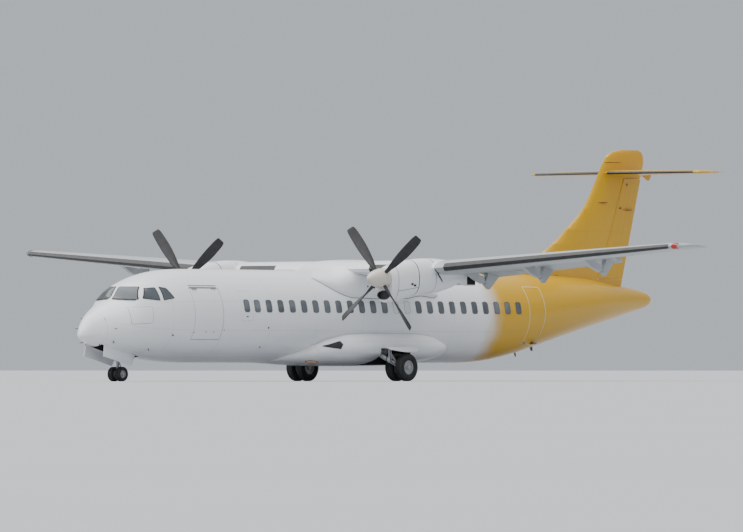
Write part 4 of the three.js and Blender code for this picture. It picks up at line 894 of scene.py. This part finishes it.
def drawn_out(rows, place, sides):
    """Shell drawn out from a unit circle ring by ring, closed at both ends, and its last face.
    place says where a row puts a point of the circle."""
    bm = bmesh.new()
    ring = {v: (v.co.x, v.co.y) for v in bmesh.ops.create_circle(bm, segments=sides, radius=1)["verts"]}
    loop = bm.edges[:]
    for k, row in enumerate(rows):
        if k:
            made = bmesh.ops.extrude_edge_only(bm, edges=loop)["geom"]
            fresh = {g for g in made if isinstance(g, bmesh.types.BMVert)}
            ring = {v: ring[next(e.other_vert(v) for e in v.link_edges if e.other_vert(v) in ring)]
                    for v in fresh}
            loop = [g for g in made if isinstance(g, bmesh.types.BMEdge) and fresh.issuperset(g.verts)]
        for vert, (across, up) in ring.items():
            vert.co = place(row, across, up)
    end = bmesh.ops.edgeloop_fill(bm, edges=loop)["faces"]
    bmesh.ops.edgeloop_fill(bm, edges=[e for e in bm.edges if e.is_boundary])
    return bm, end


def mouth_place(row, across, up):
    station, half, height = row
    return at(station, across * half, INTAKE_Z + up * height)


for side, word in SIDES:
    lip, end = drawn_out(INTAKE_LIP, mouth_place, sides=48)
    # The duct's end is a disc in dark primer, painted shade for the depth of the duct beyond it
    for face in end:
        face.material_index = 1
    bmesh.ops.translate(lip, verts=lip.verts, vec=(0, side * NACELLE_Y, 0))
    piece(f"intake_lip_{word}", lip, [boot_rubber, bay_primer], sharp=60)

# Propellers: four carbon blades on foam cores, sprayed matt black, in a hub under a pale spinner.
# Each blade is drawn out from a round root through twisted aerofoil sections.
HUB = {"station": 9.2, "z": 1.15}
BLADE_COUNT = 4
BLADE_PHASE = math.radians(-51)
# Columns: radius, chord, thickness over chord, pitch in degrees
BLADE_ROWS = [(0.15, 0.120, 0.90, 62), (0.42, 0.150, 0.70, 60), (0.70, 0.240, 0.24, 53),
              (1.20, 0.315, 0.10, 42), (1.75, 0.300, 0.065, 33), (1.94, 0.250, 0.055, 30),
              (1.98, 0.190, 0.05, 30)]
# The share of the chord that lies ahead of a blade's turning axis
BLADE_AXIS = 0.4
# The usual polynomial of a four-digit aerofoil section, after its square root term
AEROFOIL = (0.2969, -0.126, -0.3516, 0.2843, -0.1036)
# Columns: distance ahead of the blades, radius; the smooth nose, then the plain back
SPINNER_NOSE = [(0.560, 0.0), (0.556, 0.024), (0.53, 0.075), (0.455, 0.145), (0.33, 0.215),
                (0.17, 0.270), (0.06, 0.300), (-0.06, 0.310)]
SPINNER_BACK = [(-0.175, 0.310), (-0.175, 0.0)]


def blade_place(row, across, side):
    """Puts a point of the unit circle on one blade section."""
    radius, chord, thick, pitch = row
    turn = math.radians(pitch)
    f = (1 - across) / 2
    root, *rest = AEROFOIL
    half = 5 * thick * chord * (root * math.sqrt(f) + sum(c * f ** (k + 1) for k, c in enumerate(rest)))
    along, rise = (f - BLADE_AXIS) * chord, math.copysign(half, side) if side else 0.0
    return (-along * math.sin(turn) - rise * math.cos(turn),
            along * math.cos(turn) - rise * math.sin(turn), radius)


def curve_through(rows, count):
    """Rows between those of a table, on smooth curves through its columns."""
    made = []
    for k, (a, b) in enumerate(zip(rows, rows[1:])):
        before, after = rows[max(k - 1, 0)], rows[min(k + 2, len(rows) - 1)]
        for step in range(count):
            t = step / count
            made.append([q + 0.5 * t * (r - p + t * (2 * p - 5 * q + 4 * r - s + t * (3 * (q - r) + s - p)))
                         for p, q, r, s in zip(before, a, b, after)])
    return [*made, list(rows[-1])]


def lathe(rows, steps, axis="X"):
    """Spins a profile of (along, radius) round an axis through the origin."""
    bm = bmesh.new()
    verts = [bm.verts.new((along, 0, radius)) for along, radius in rows]
    edges = [bm.edges.new(pair) for pair in zip(verts, verts[1:])]
    bmesh.ops.spin(bm, geom=[*verts, *edges], cent=(0, 0, 0), axis=(1, 0, 0), dvec=(0, 0, 0),
                   angle=math.tau, steps=steps, use_merge=True)
    bmesh.ops.remove_doubles(bm, verts=bm.verts, dist=0.0001)
    if axis == "Y":
        bmesh.ops.rotate(bm, verts=bm.verts, matrix=Matrix.Rotation(math.pi / 2, 3, "Z"))
    return bm


blade_paint = mottled("Matt black blade enamel", "141518", 0.45, size=0.15, **RUBBER)
spinner_paint = aircraft_paint("Pale spinner enamel", "cfc8bc", "span", (5.1, 5.1), grime=0.3)
for side, word in SIDES:
    hub = at(HUB["station"], side * NACELLE_Y, HUB["z"])
    body = f"propeller_unit_{word}"
    spinner = lathe([*curve_through(SPINNER_NOSE, count=3), *SPINNER_BACK], steps=72)
    bmesh.ops.translate(spinner, verts=spinner.verts, vec=hub)
    piece(f"spinner_shell_{word}", spinner, [spinner_paint], body,
          (f"spinner_{word}",), sharp=40)
    blades = bmesh.new()
    for k in range(BLADE_COUNT):
        blade, _ = drawn_out(curve_through(BLADE_ROWS, count=4), blade_place, sides=28)
        bmesh.ops.rotate(blade, verts=blade.verts,
                         matrix=Matrix.Rotation(BLADE_PHASE + math.tau * k / BLADE_COUNT, 3, "X"))
        collect(blades, blade)
    bmesh.ops.translate(blades, verts=blades.verts, vec=hub)
    piece(f"blades_{word}", blades, [blade_paint], body, (f"propeller_{word}",),
          sharp=50)

# Tail: fin, rudder, tailplane and elevators in yellow enamel on composite skins. The tailplane
# carries de-icing boots on its leading edges, short of its tips, and the fin carries none.
TAIL_LEAD = {"root": 24.78, "tip": 25.40, "half_span": 3.655}
TAIL_SLOPE = (TAIL_LEAD["tip"] - TAIL_LEAD["root"]) / TAIL_LEAD["half_span"]
TAIL_BOOT = {"depth": 0.075, "span": (0.17, 3.30)}
# Columns: height over the axis, leading edge, trailing edge, thickness
FIN_LINES = [(1.00, 17.90, 25.73, 0.300), (1.48, 18.75, 25.86, 0.310), (1.85, 20.90, 25.97, 0.310),
             (2.05, 21.62, 26.03, 0.310), (2.40, 22.30, 26.13, 0.305), (2.86, 22.95, 26.26, 0.300),
             (3.56, 23.83, 26.46, 0.275), (5.05, 24.82, 26.89, 0.220)]
CAP_LINES = [(5.0503, 24.82, 26.89, 0.220), (5.24, 24.99, 26.87, 0.190), (5.39, 25.30, 26.78, 0.130),
             (5.46, 25.70, 26.60, 0.050)]
# Height of the cuts, and the share of the chord that is the rudder's
FIN_FAIRING = {"step": 0.06, "movable": 0.35}
CAP_FAIRING = {"step": 0.05, "movable": 0.0}


def faired(node, table, step, movable):
    """Copy of an upright surface whose edges follow smooth curves; its movable share stays put."""
    bm = node_mesh(node)
    low, high = table[0][0], table[-1][0]
    count = round((high - low) / step)
    for k in range(1, count):
        cut_lines(bm, bm.faces[:], 2, AXIS_HEIGHT + low + (high - low) * k / count)
    for vert in bm.verts:
        station, z = STATION_ZERO - vert.co.x, vert.co.z - AXIS_HEIGHT
        lead, trail, thick = row_at(table, z, smooth=False)
        new_lead, new_trail, new_thick = row_at(table, z)
        share = (station - lead) / (trail - lead)
        station += (new_lead - lead) * max(0.0, 1 - share / (1 - movable))
        if not movable:
            station += (new_trail - trail) * share
            vert.co.y *= new_thick / thick
        vert.co.x = STATION_ZERO - station
    return bm


yellow_composite = aircraft_paint("Gloss yellow enamel on composite", YELLOW_HEX, "upright", (1.7, 1.6),
                                  grime=0.25)
piece("fin_skin", faired("fin", FIN_LINES, **FIN_FAIRING), [yellow_composite],
      stands_for=("fin",))
piece("fin_cap_skin", faired("fin_cap", CAP_LINES, **CAP_FAIRING), [yellow_composite],
      stands_for=("fin_cap",))
smooth_copy("rudder", yellow_composite, "rudder_panel")
smooth_copy("tailplane", yellow_composite)
boots = bmesh.new()
behind = at(TAIL_LEAD["root"] + TAIL_BOOT["depth"], 0, 0)
for side, word in SIDES:
    smooth_copy(f"elevator_{word}", yellow_composite, f"elevator_panel_{word}")
    cuts = [(behind, (-1, -side * TAIL_SLOPE, 0)), *between(side, *TAIL_BOOT["span"])]
    collect(boots, raised(trim(node_mesh("tailplane"), cuts), BOOT_PROUD))
piece("tailplane_boots", boots, [boot_rubber])

# Rudder end seals: thin rubber strips, painted over, that close the slots at the rudder's foot
# and head. The lower one is bonded to the rudder, the upper one hangs from the fin.
# Corners: station, height
END_SEALS = {
    "rudder_foot_seal": ("rudder_panel", [(24.62, 1.30), (25.78, 1.30), (25.78, 1.2696), (24.62, 1.2696)]),
    "rudder_head_seal": ("airframe", [(25.86, 4.525), (26.70, 4.525), (26.70, 4.589), (25.86, 4.554)]),
}
SEAL_HALF = 0.006


def plate(outline, y, half):
    """Upright plate with an outline of stations and heights, that far to each side of y."""
    bm = bmesh.new()
    bm.faces.new([bm.verts.new(at(station, y - half, z)) for station, z in outline])
    return thicken(bm, (0, half * 2, 0))


for name, (body, outline) in END_SEALS.items():
    piece(name, plate(outline, 0, SEAL_HALF), [yellow_composite], body)

# Hinge fairings of the tail: small pointed blisters over the brackets of the fin
# and rudder, moulded in yellow composite and riveted on; their downward faces carry painted shade in dark
# brown.
# Columns: body, station, side, height, (length, width, depth)
TAIL_BLISTERS = [("airframe", 24.68, 0.125, 3.75, (0.54, 0.10, 0.085)),
                 ("rudder_panel", 26.04, 0.055, 3.53, (0.52, 0.10, 0.085)),
                 ("rudder_panel", 25.62, 0.080, 3.58, (0.16, 0.06, 0.10)),
                 ("rudder_panel", 25.96, 0.070, 4.34, (0.16, 0.06, 0.10))]
# Faces that point down further than this take the painted shade
SHADED_BELOW = 0.2
painted_shade_brown = mottled("Painted shade under yellow blisters", "9c5a14", 0.5, size=0.05, share=0.7, second="4a2a10")
for k, (body, station, y, z, size) in enumerate(TAIL_BLISTERS):
    blister = bmesh.new()
    for side in (1, -1):
        made = bmesh.ops.create_uvsphere(blister, u_segments=24, v_segments=12, radius=0.5)["verts"]
        for vert in made:
            vert.co.z *= 1 - abs(vert.co.x)
        bmesh.ops.scale(blister, verts=made, vec=size)
        bmesh.ops.translate(blister, verts=made, vec=at(station, side * y, z))
    blister.normal_update()
    for face in blister.faces:
        # Downward faces are coloured dark brown as painted shade
        face.material_index = int(face.normal.z < SHADED_BELOW)
    piece(f"tail_hinge_fairing_{k + 1}", blister, [yellow_composite, painted_shade_brown], body)

# Elevator lever fairings: a wedge of composite with eased edges under each elevator, round the
# lever that drives it.
# Outline: station, height
WEDGE = [(26.02, 4.70), (26.06, 4.64), (26.38, 4.46), (26.44, 4.47), (26.58, 4.70)]
WEDGE_PLACE = {"y": 0.60, "half": 0.028}
WEDGE_EDGE = 0.008
for side, word in SIDES:
    wedge = plate(WEDGE, side * WEDGE_PLACE["y"], WEDGE_PLACE["half"])
    bmesh.ops.bevel(wedge, geom=wedge.edges[:], offset=WEDGE_EDGE, offset_type="OFFSET", segments=2,
                    profile=0.5, affect="EDGES", material=-1, clamp_overlap=True)
    piece(f"elevator_lever_fairing_{word}", wedge, [yellow_composite], f"elevator_panel_{word}")

# Fin cap seam: a bead of dark sealant pressed into the joint below the fin's cap, a little proud
# of both flanks.
CAP_SEAM = [(station, 5.042) for station in (24.86, 24.90, 24.96, 25.05, 25.2, 25.4, 25.6)]
CAP_BEAD = 0.008
FIN = surface_of(faired("fin", FIN_LINES, **FIN_FAIRING))
cap_seam = bmesh.new()
for side in (1, -1):
    strand(cap_seam, places_on(FIN, CAP_SEAM, side), CAP_BEAD)
piece("fin_cap_seam", cap_seam, [seal_black])

# Wheels: forged rims in two halves with ribbed rubber tyres, two on each axle. Both are turned
# profiles, spun round the axle; a ring of bolts holds the halves together.
# Columns: the wheel's distance from the middle, the tyre's width, the rim's radius, the body
WHEELS = {"nose": (0.150, 0.190, 0.115, "nose_wheels"),
          "main_port": (0.210, 0.254, 0.215, "main_wheels_port"),
          "main_starboard": (0.210, 0.254, 0.215, "main_wheels_starboard")}
# Columns: share of the sidewall's height, share of the tyre's half width
TYRE_ROWS = [(0.0, 0.72), (0.10, 0.86), (0.35, 0.985), (0.55, 1.0), (0.75, 0.965), (0.90, 0.86),
             (0.975, 0.72), (0.995, 0.60)]
# Places of the grooves and half their width, as shares of the half width, and their depth
GROOVE = {"places": (0.40, 0.13), "half": 0.035, "deep": 0.012}
# Columns: share of the rim's half width, share of its radius
RIM_ROWS = [(-1, 0.0), (-1, 1), (-0.9, 0.93), (0.9, 0.93), (1, 1), (1, 0.90), (0.55, 0.84),
            (0.35, 0.66), (0.5, 0.34), (1.1, 0.30), (1.16, 0.22), (1.16, 0.0)]
RIM_DEPTH = 0.72
TYRE_SEAT = 0.0003
# Shares of the rim's half width and radius, apart from the length
BOLTS = {"count": 9, "circle": 0.56, "seat": 0.38, "long": 0.016, "radius": 0.045, "sides": 6}
AXLE_SHARE = 0.28
tyre_rubber = mottled("Black tyre rubber", "161617", 0.75, size=0.06, **RUBBER)
rim_paint = mottled("Silver wheel enamel", "b4b7ba", 0.4, size=0.05, share=0.5, second="6a6764",
                    Metallic=0.3)


def tyre_profile(radius, rim, half):
    """One tyre's outline from bead to bead, with its grooves, as (along, radius)."""
    side = [(share_out * half, rim + share_up * (radius - rim)) for share_up, share_out in TYRE_ROWS]
    for place in GROOVE["places"]:
        left, right = (place + GROOVE["half"]) * half, (place - GROOVE["half"]) * half
        deep = radius - GROOVE["deep"]
        side += [(left, radius), (left, deep), (right, deep), (right, radius)]
    return side + [(-along, up) for along, up in reversed(side)] + [side[0]]


def studs(bm, count, circle, start, end, radius, sides):
    """Ring of short bars round an axle, each from one place along it to another."""
    for k in range(count):
        angle = math.tau * k / count
        spot = Vector((math.cos(angle), 0, math.sin(angle))) * circle
        rod(bm, spot + Vector((0, start, 0)), spot + Vector((0, end, 0)), radius, sides)


def middle_of(node):
    low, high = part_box(node)
    return (low + high) / 2


for name, (offset, width, rim, body) in WHEELS.items():
    axle = middle_of(f"{name}_rims")
    half, seat, deep = width / 2, rim - TYRE_SEAT, width / 2 * RIM_DEPTH
    rims = bmesh.new()
    for side, word in SIDES:
        tyre = lathe(tyre_profile(axle.z, rim, half), steps=72, axis="Y")
        bmesh.ops.translate(tyre, verts=tyre.verts, vec=axle + Vector((0, side * offset, 0)))
        piece(f"{name}_ribbed_tyre_{word}", tyre, [tyre_rubber], body,
              (f"{name}_tyre_{word}",), sharp=40)
        half_rim = lathe([(along * deep, up * seat) for along, up in RIM_ROWS], steps=48, axis="Y")
        if side < 0:
            bmesh.ops.rotate(half_rim, verts=half_rim.verts, matrix=Matrix.Rotation(math.pi, 3, "Z"))
        face = side * deep * BOLTS["seat"]
        studs(half_rim, BOLTS["count"], seat * BOLTS["circle"], face, face + side * BOLTS["long"],
              seat * BOLTS["radius"], BOLTS["sides"])
        bmesh.ops.translate(half_rim, verts=half_rim.verts, vec=(0, side * offset, 0))
        collect(rims, half_rim)
    rod(rims, (0, -offset, 0), (0, offset, 0), rim * AXLE_SHARE, sides=32)
    bmesh.ops.translate(rims, verts=rims.verts, vec=axle)
    piece(f"{name}_forged_rims", rims, [rim_paint], body, (f"{name}_rims",), sharp=40)

# Main legs: forged trailing arms in grey enamel with an oil damper, and rubber hoses strapped
# along the arm. A white crescent door rides above each pair of wheels.
# Columns: station, side, height
HOSES = [[(11.92, 2.10, -1.05), (11.90, 2.12, -1.25), (11.98, 2.13, -1.42), (12.20, 2.12, -1.47),
          (12.42, 2.11, -1.52)],
         [(11.93, 2.00, -1.05), (11.88, 1.98, -1.28), (11.97, 1.97, -1.45), (12.22, 1.98, -1.50),
          (12.42, 1.98, -1.54)]]
HOSE_RADIUS = 0.011
DAMPER = [(12.155, 2.05, -1.31), (12.31, 2.05, -1.48)]
DAMPER_RADIUS = 0.030
leg_enamel = mottled("Grey landing gear enamel", "a9adb0")
hose_rubber = mottled("Black hydraulic hose", "151515", 0.6, size=0.03, **RUBBER)
chrome = satin_metal("Chromed damper rod", "d6d8da", 0.12)
for side, word in SIDES:
    smooth_copy(f"main_leg_{word}", leg_enamel, sharp=38)
    smooth_copy(f"main_door_{word}", white_composite)
    hoses, damper = bmesh.new(), bmesh.new()
    for route in HOSES:
        strand(hoses, [at(s, side * y, z) for s, y, z in curve_through(route, count=4)], HOSE_RADIUS,
               sides=10)
    strand(damper, [at(s, side * y, z) for s, y, z in DAMPER], DAMPER_RADIUS, sides=24)
    piece(f"main_leg_hoses_{word}", hoses, [hose_rubber])
    piece(f"damper_rod_{word}", damper, [chrome])

# Brake packs: six steel discs and the spaces between them in each main wheel, turned as one,
# with a ring of pistons towards the leg. They are bolted to the leg and don't turn.
BRAKE = {"bore": 0.075, "y": 0.100, "disc": 0.172, "space": 0.150, "pitch": 0.0052, "half": 0.0018}
# Columns: place along the axle, radius
BRAKE_ROWS = [(BRAKE["pitch"] * k, BRAKE["disc"] if k % 2 else BRAKE["space"]) for k in range(-5, 6)]
PISTONS = {"count": 6, "circle": 0.125, "radius": 0.020, "from": 0.046, "to": 0.020}
for _, word in SIDES:
    axle = middle_of(f"main_{word}_rims")
    brakes = bmesh.new()
    for way in (1, -1):
        discs = [(BRAKE_ROWS[0][0], BRAKE["bore"])]
        for along, radius in BRAKE_ROWS:
            discs += [(along - BRAKE["half"], radius), (along + BRAKE["half"], radius)]
        stack = lathe([*discs, (BRAKE_ROWS[-1][0], BRAKE["bore"]), discs[0]], steps=48, axis="Y")
        studs(stack, PISTONS["count"], PISTONS["circle"], -way * PISTONS["from"], -way * PISTONS["to"],
              PISTONS["radius"], sides=16)
        bmesh.ops.translate(stack, verts=stack.verts, vec=axle + Vector((0, way * BRAKE["y"], 0)))
        collect(brakes, stack)
    piece(f"brake_packs_{word}", brakes, [burnt_steel])

# Nose leg: a steerable oleo with a torque link and a taxi lamp, in a bay closed by two long doors.
# The lamp is a spun steel bowl with a pressed glass lens.
smooth_copy("nose_leg", leg_enamel, sharp=38)
smooth_copy("nose_fork", leg_enamel, "nose_steering", sharp=38)
for _, word in SIDES:
    smooth_copy(f"nose_door_{word}", white_composite)
TAXI_LAMP = {"height": -1.12, "back": 1.66, "mouth": 1.57, "front": 1.558, "sides": 28}
# Radii at the bowl's back and mouth, and at the lens's edge and front
BOWL = (0.045, 0.075)
LENS = (0.069, 0.0525)
back, mouth, front = (at(TAXI_LAMP[place], 0, TAXI_LAMP["height"]) for place in ("back", "mouth", "front"))
lamp, lens = bmesh.new(), bmesh.new()
rod(lamp, back, mouth, BOWL[0], TAXI_LAMP["sides"], BOWL[1])
rod(lens, mouth, front, LENS[0], TAXI_LAMP["sides"], LENS[1])
piece("taxi_lamp_body", lamp, [steel])
piece("taxi_lamp_lens", lens, [lamp_glass])

# Air-data probes and vents: short dark turned stubs and flush discs, screwed through the skin.
# The longest are pitot tubes with an elbow and a nozzle; those on the cargo door move with it.
# Columns: station, side, height over the axis, length out of the skin, radius
PROBES = [(0.87, 0.73, -0.41, 0.10, 0.012), (0.90, 0.60, -0.77, 0.10, 0.012),
          (0.67, 0.46, -0.12, 0.05, 0.010), (2.24, 0.79, -1.01, 0.07, 0.014),
          (2.86, 1.23, -0.59, 0.05, 0.022), (0.64, 0.27, -0.87, 0.05, 0.014),
          (3.73, 1.32, -0.51, 0.008, 0.020), (4.25, 1.34, -0.49, 0.008, 0.020),
          (4.60, 1.34, -0.50, 0.008, 0.020), (5.05, 1.36, -0.44, 0.008, 0.020),
          (7.06, 1.39, -0.36, 0.010, 0.035), (7.01, 1.07, -0.95, 0.010, 0.030)]
PROBE_ROOT = 0.003
PROBE_TAPER = 0.8
NOZZLE = {"for": 0.09, "behind": 0.02, "ahead": 0.09, "taper": 0.5}
probes, door_vents = bmesh.new(), bmesh.new()
door_start, door_end = DOORS["cargo_door"][0]
for station, y, z, length, radius in PROBES:
    for side in (1, -1):
        on_door = side > 0 and door_start < station < door_end
        hit, normal, _, _ = SKIN.find_nearest(at(station, side * y, z))
        tip = hit + normal * length
        rod(door_vents if on_door else probes, hit - normal * PROBE_ROOT, tip, radius, sides=14,
            tip=radius * PROBE_TAPER)
        if length > NOZZLE["for"]:
            rod(probes, tip - Vector((NOZZLE["behind"], 0, 0)), tip + Vector((NOZZLE["ahead"], 0, 0)),
                radius, sides=14, tip=radius * NOZZLE["taper"])
piece("air_data_probes", probes, [seal_black])
piece("cargo_door_vents", door_vents, [seal_black], "cargo_hatch")

# Drain masts and whip aerial: two swept masts under the tail, cast oval and tapered, and a thin
# whip screwed in over the flight deck, all in the window frames' graphite enamel.
# Columns: station of the root's middle, chord, height, sweep
DRAINS = [(20.4, 0.10, 0.17, 0.05), (21.2, 0.17, 0.17, 0.06)]
DRAIN = {"root": 0.5, "tip": 0.3, "thick": 0.044, "sunk": 0.02}
WHIP = {"foot": (3.10, 0.0, 1.30), "tip": (3.22, 0.0, 1.66), "radius": 0.010, "taper": 0.4}
masts = bmesh.new()
for station, chord, tall, sweep in DRAINS:
    hit = SKIN.ray_cast(at(station, 0, -REACH), (0, 0, 1))[0]
    made = bmesh.ops.create_cone(masts, cap_ends=True, segments=24, radius1=DRAIN["root"],
                                 radius2=DRAIN["tip"], depth=1.0)["verts"]
    for vert in made:
        down = vert.co.z + 0.5
        vert.co = (hit.x + vert.co.x * chord - down * sweep, vert.co.y * DRAIN["thick"],
                   hit.z + DRAIN["sunk"] - down * (tall + DRAIN["sunk"]))
rod(masts, at(*WHIP["foot"]), at(*WHIP["tip"]), WHIP["radius"], sides=10,
    tip=WHIP["radius"] * WHIP["taper"])
piece("whip_aerial_and_drains", masts, [frame_paint])

# Stage: a pale sealed floor, soft light from a broad overhead bank and the room, and a long lens
# set down at floor level, looking at the port bow.
FLOOR_REACH = 3000.0
floor_finish = mottled("Pale sealed floor", "adb0b4", 0.85, size=5.0, share=0.25, second="9fa2a6")
slab = bmesh.new()
bmesh.ops.create_grid(slab, x_segments=2, y_segments=2, size=FLOOR_REACH)
floor_mesh = bpy.data.meshes.new("floor")
slab.to_mesh(floor_mesh)
slab.free()
floor_mesh.materials.append(floor_finish)
floor = bpy.data.objects.new("floor", floor_mesh)
bpy.context.scene.collection.objects.link(floor)

# The room is pale round the walls and white overhead, with a soft change between the two
ROOM = {"wall": "cdd3db", "ceiling": "ffffff", "strength": 0.85, "rise": (0.12, 0.75)}
world = bpy.data.worlds.new("Pale room")
world.use_nodes = True
tree = world.node_tree
direction = add_node(tree, "TexCoord", {}).outputs["Generated"]
height = add_node(tree, "SeparateXYZ", {0: direction}).outputs["Z"]
rise = add_node(tree, "MapRange", {"Value": height, "From Min": ROOM["rise"][0],
                                   "From Max": ROOM["rise"][1]}, interpolation_type="SMOOTHSTEP")
sky = add_node(tree, "Mix", {0: rise, FIRST: linear(ROOM["wall"]), SECOND: linear(ROOM["ceiling"])},
               data_type="RGBA")
background = tree.nodes["Background"]
tree.links.new(sky.outputs[MIXED], background.inputs["Color"])
background.inputs["Strength"].default_value = ROOM["strength"]
bpy.context.scene.world = world

# Columns: name, strength, angle of the source in degrees, direction the light travels
SUNS = [("overhead bank", 4.4, 80, (-0.25, 0.3, -1.0)), ("port bow fill", 0.35, 60, (-0.9, -0.6, -0.25))]
VIEW = {"bearing": math.radians(41), "distance": 279.0, "eye": 0.35, "aim": (0.05, -0.1, 3.6), "wide": 23.25,
        "sensor": 36.0, "clip": (1.0, 5000.0)}


def set_up(name, data, way):
    """A light or camera in the scene, looking along a direction."""
    made = bpy.data.objects.new(name, data)
    made.rotation_mode = "QUATERNION"
    made.rotation_quaternion = Vector(way).to_track_quat("-Z", "Y")
    bpy.context.scene.collection.objects.link(made)
    return made


for name, strength, angle, way in SUNS:
    sun = bpy.data.lights.new(name, "SUN")
    sun.energy = strength
    sun.angle = math.radians(angle)
    set_up(name, sun, way)

aim = Vector(VIEW["aim"])
eye = aim + Vector((math.cos(VIEW["bearing"]), math.sin(VIEW["bearing"]), 0)) * VIEW["distance"]
eye.z = VIEW["eye"]
long_lens = bpy.data.cameras.new("long lens")
long_lens.sensor_width = VIEW["sensor"]
long_lens.lens = VIEW["sensor"] * VIEW["distance"] / VIEW["wide"]
long_lens.clip_start, long_lens.clip_end = VIEW["clip"]
camera = set_up("camera", long_lens, aim - eye)
camera.location = eye
bpy.context.scene.camera = camera
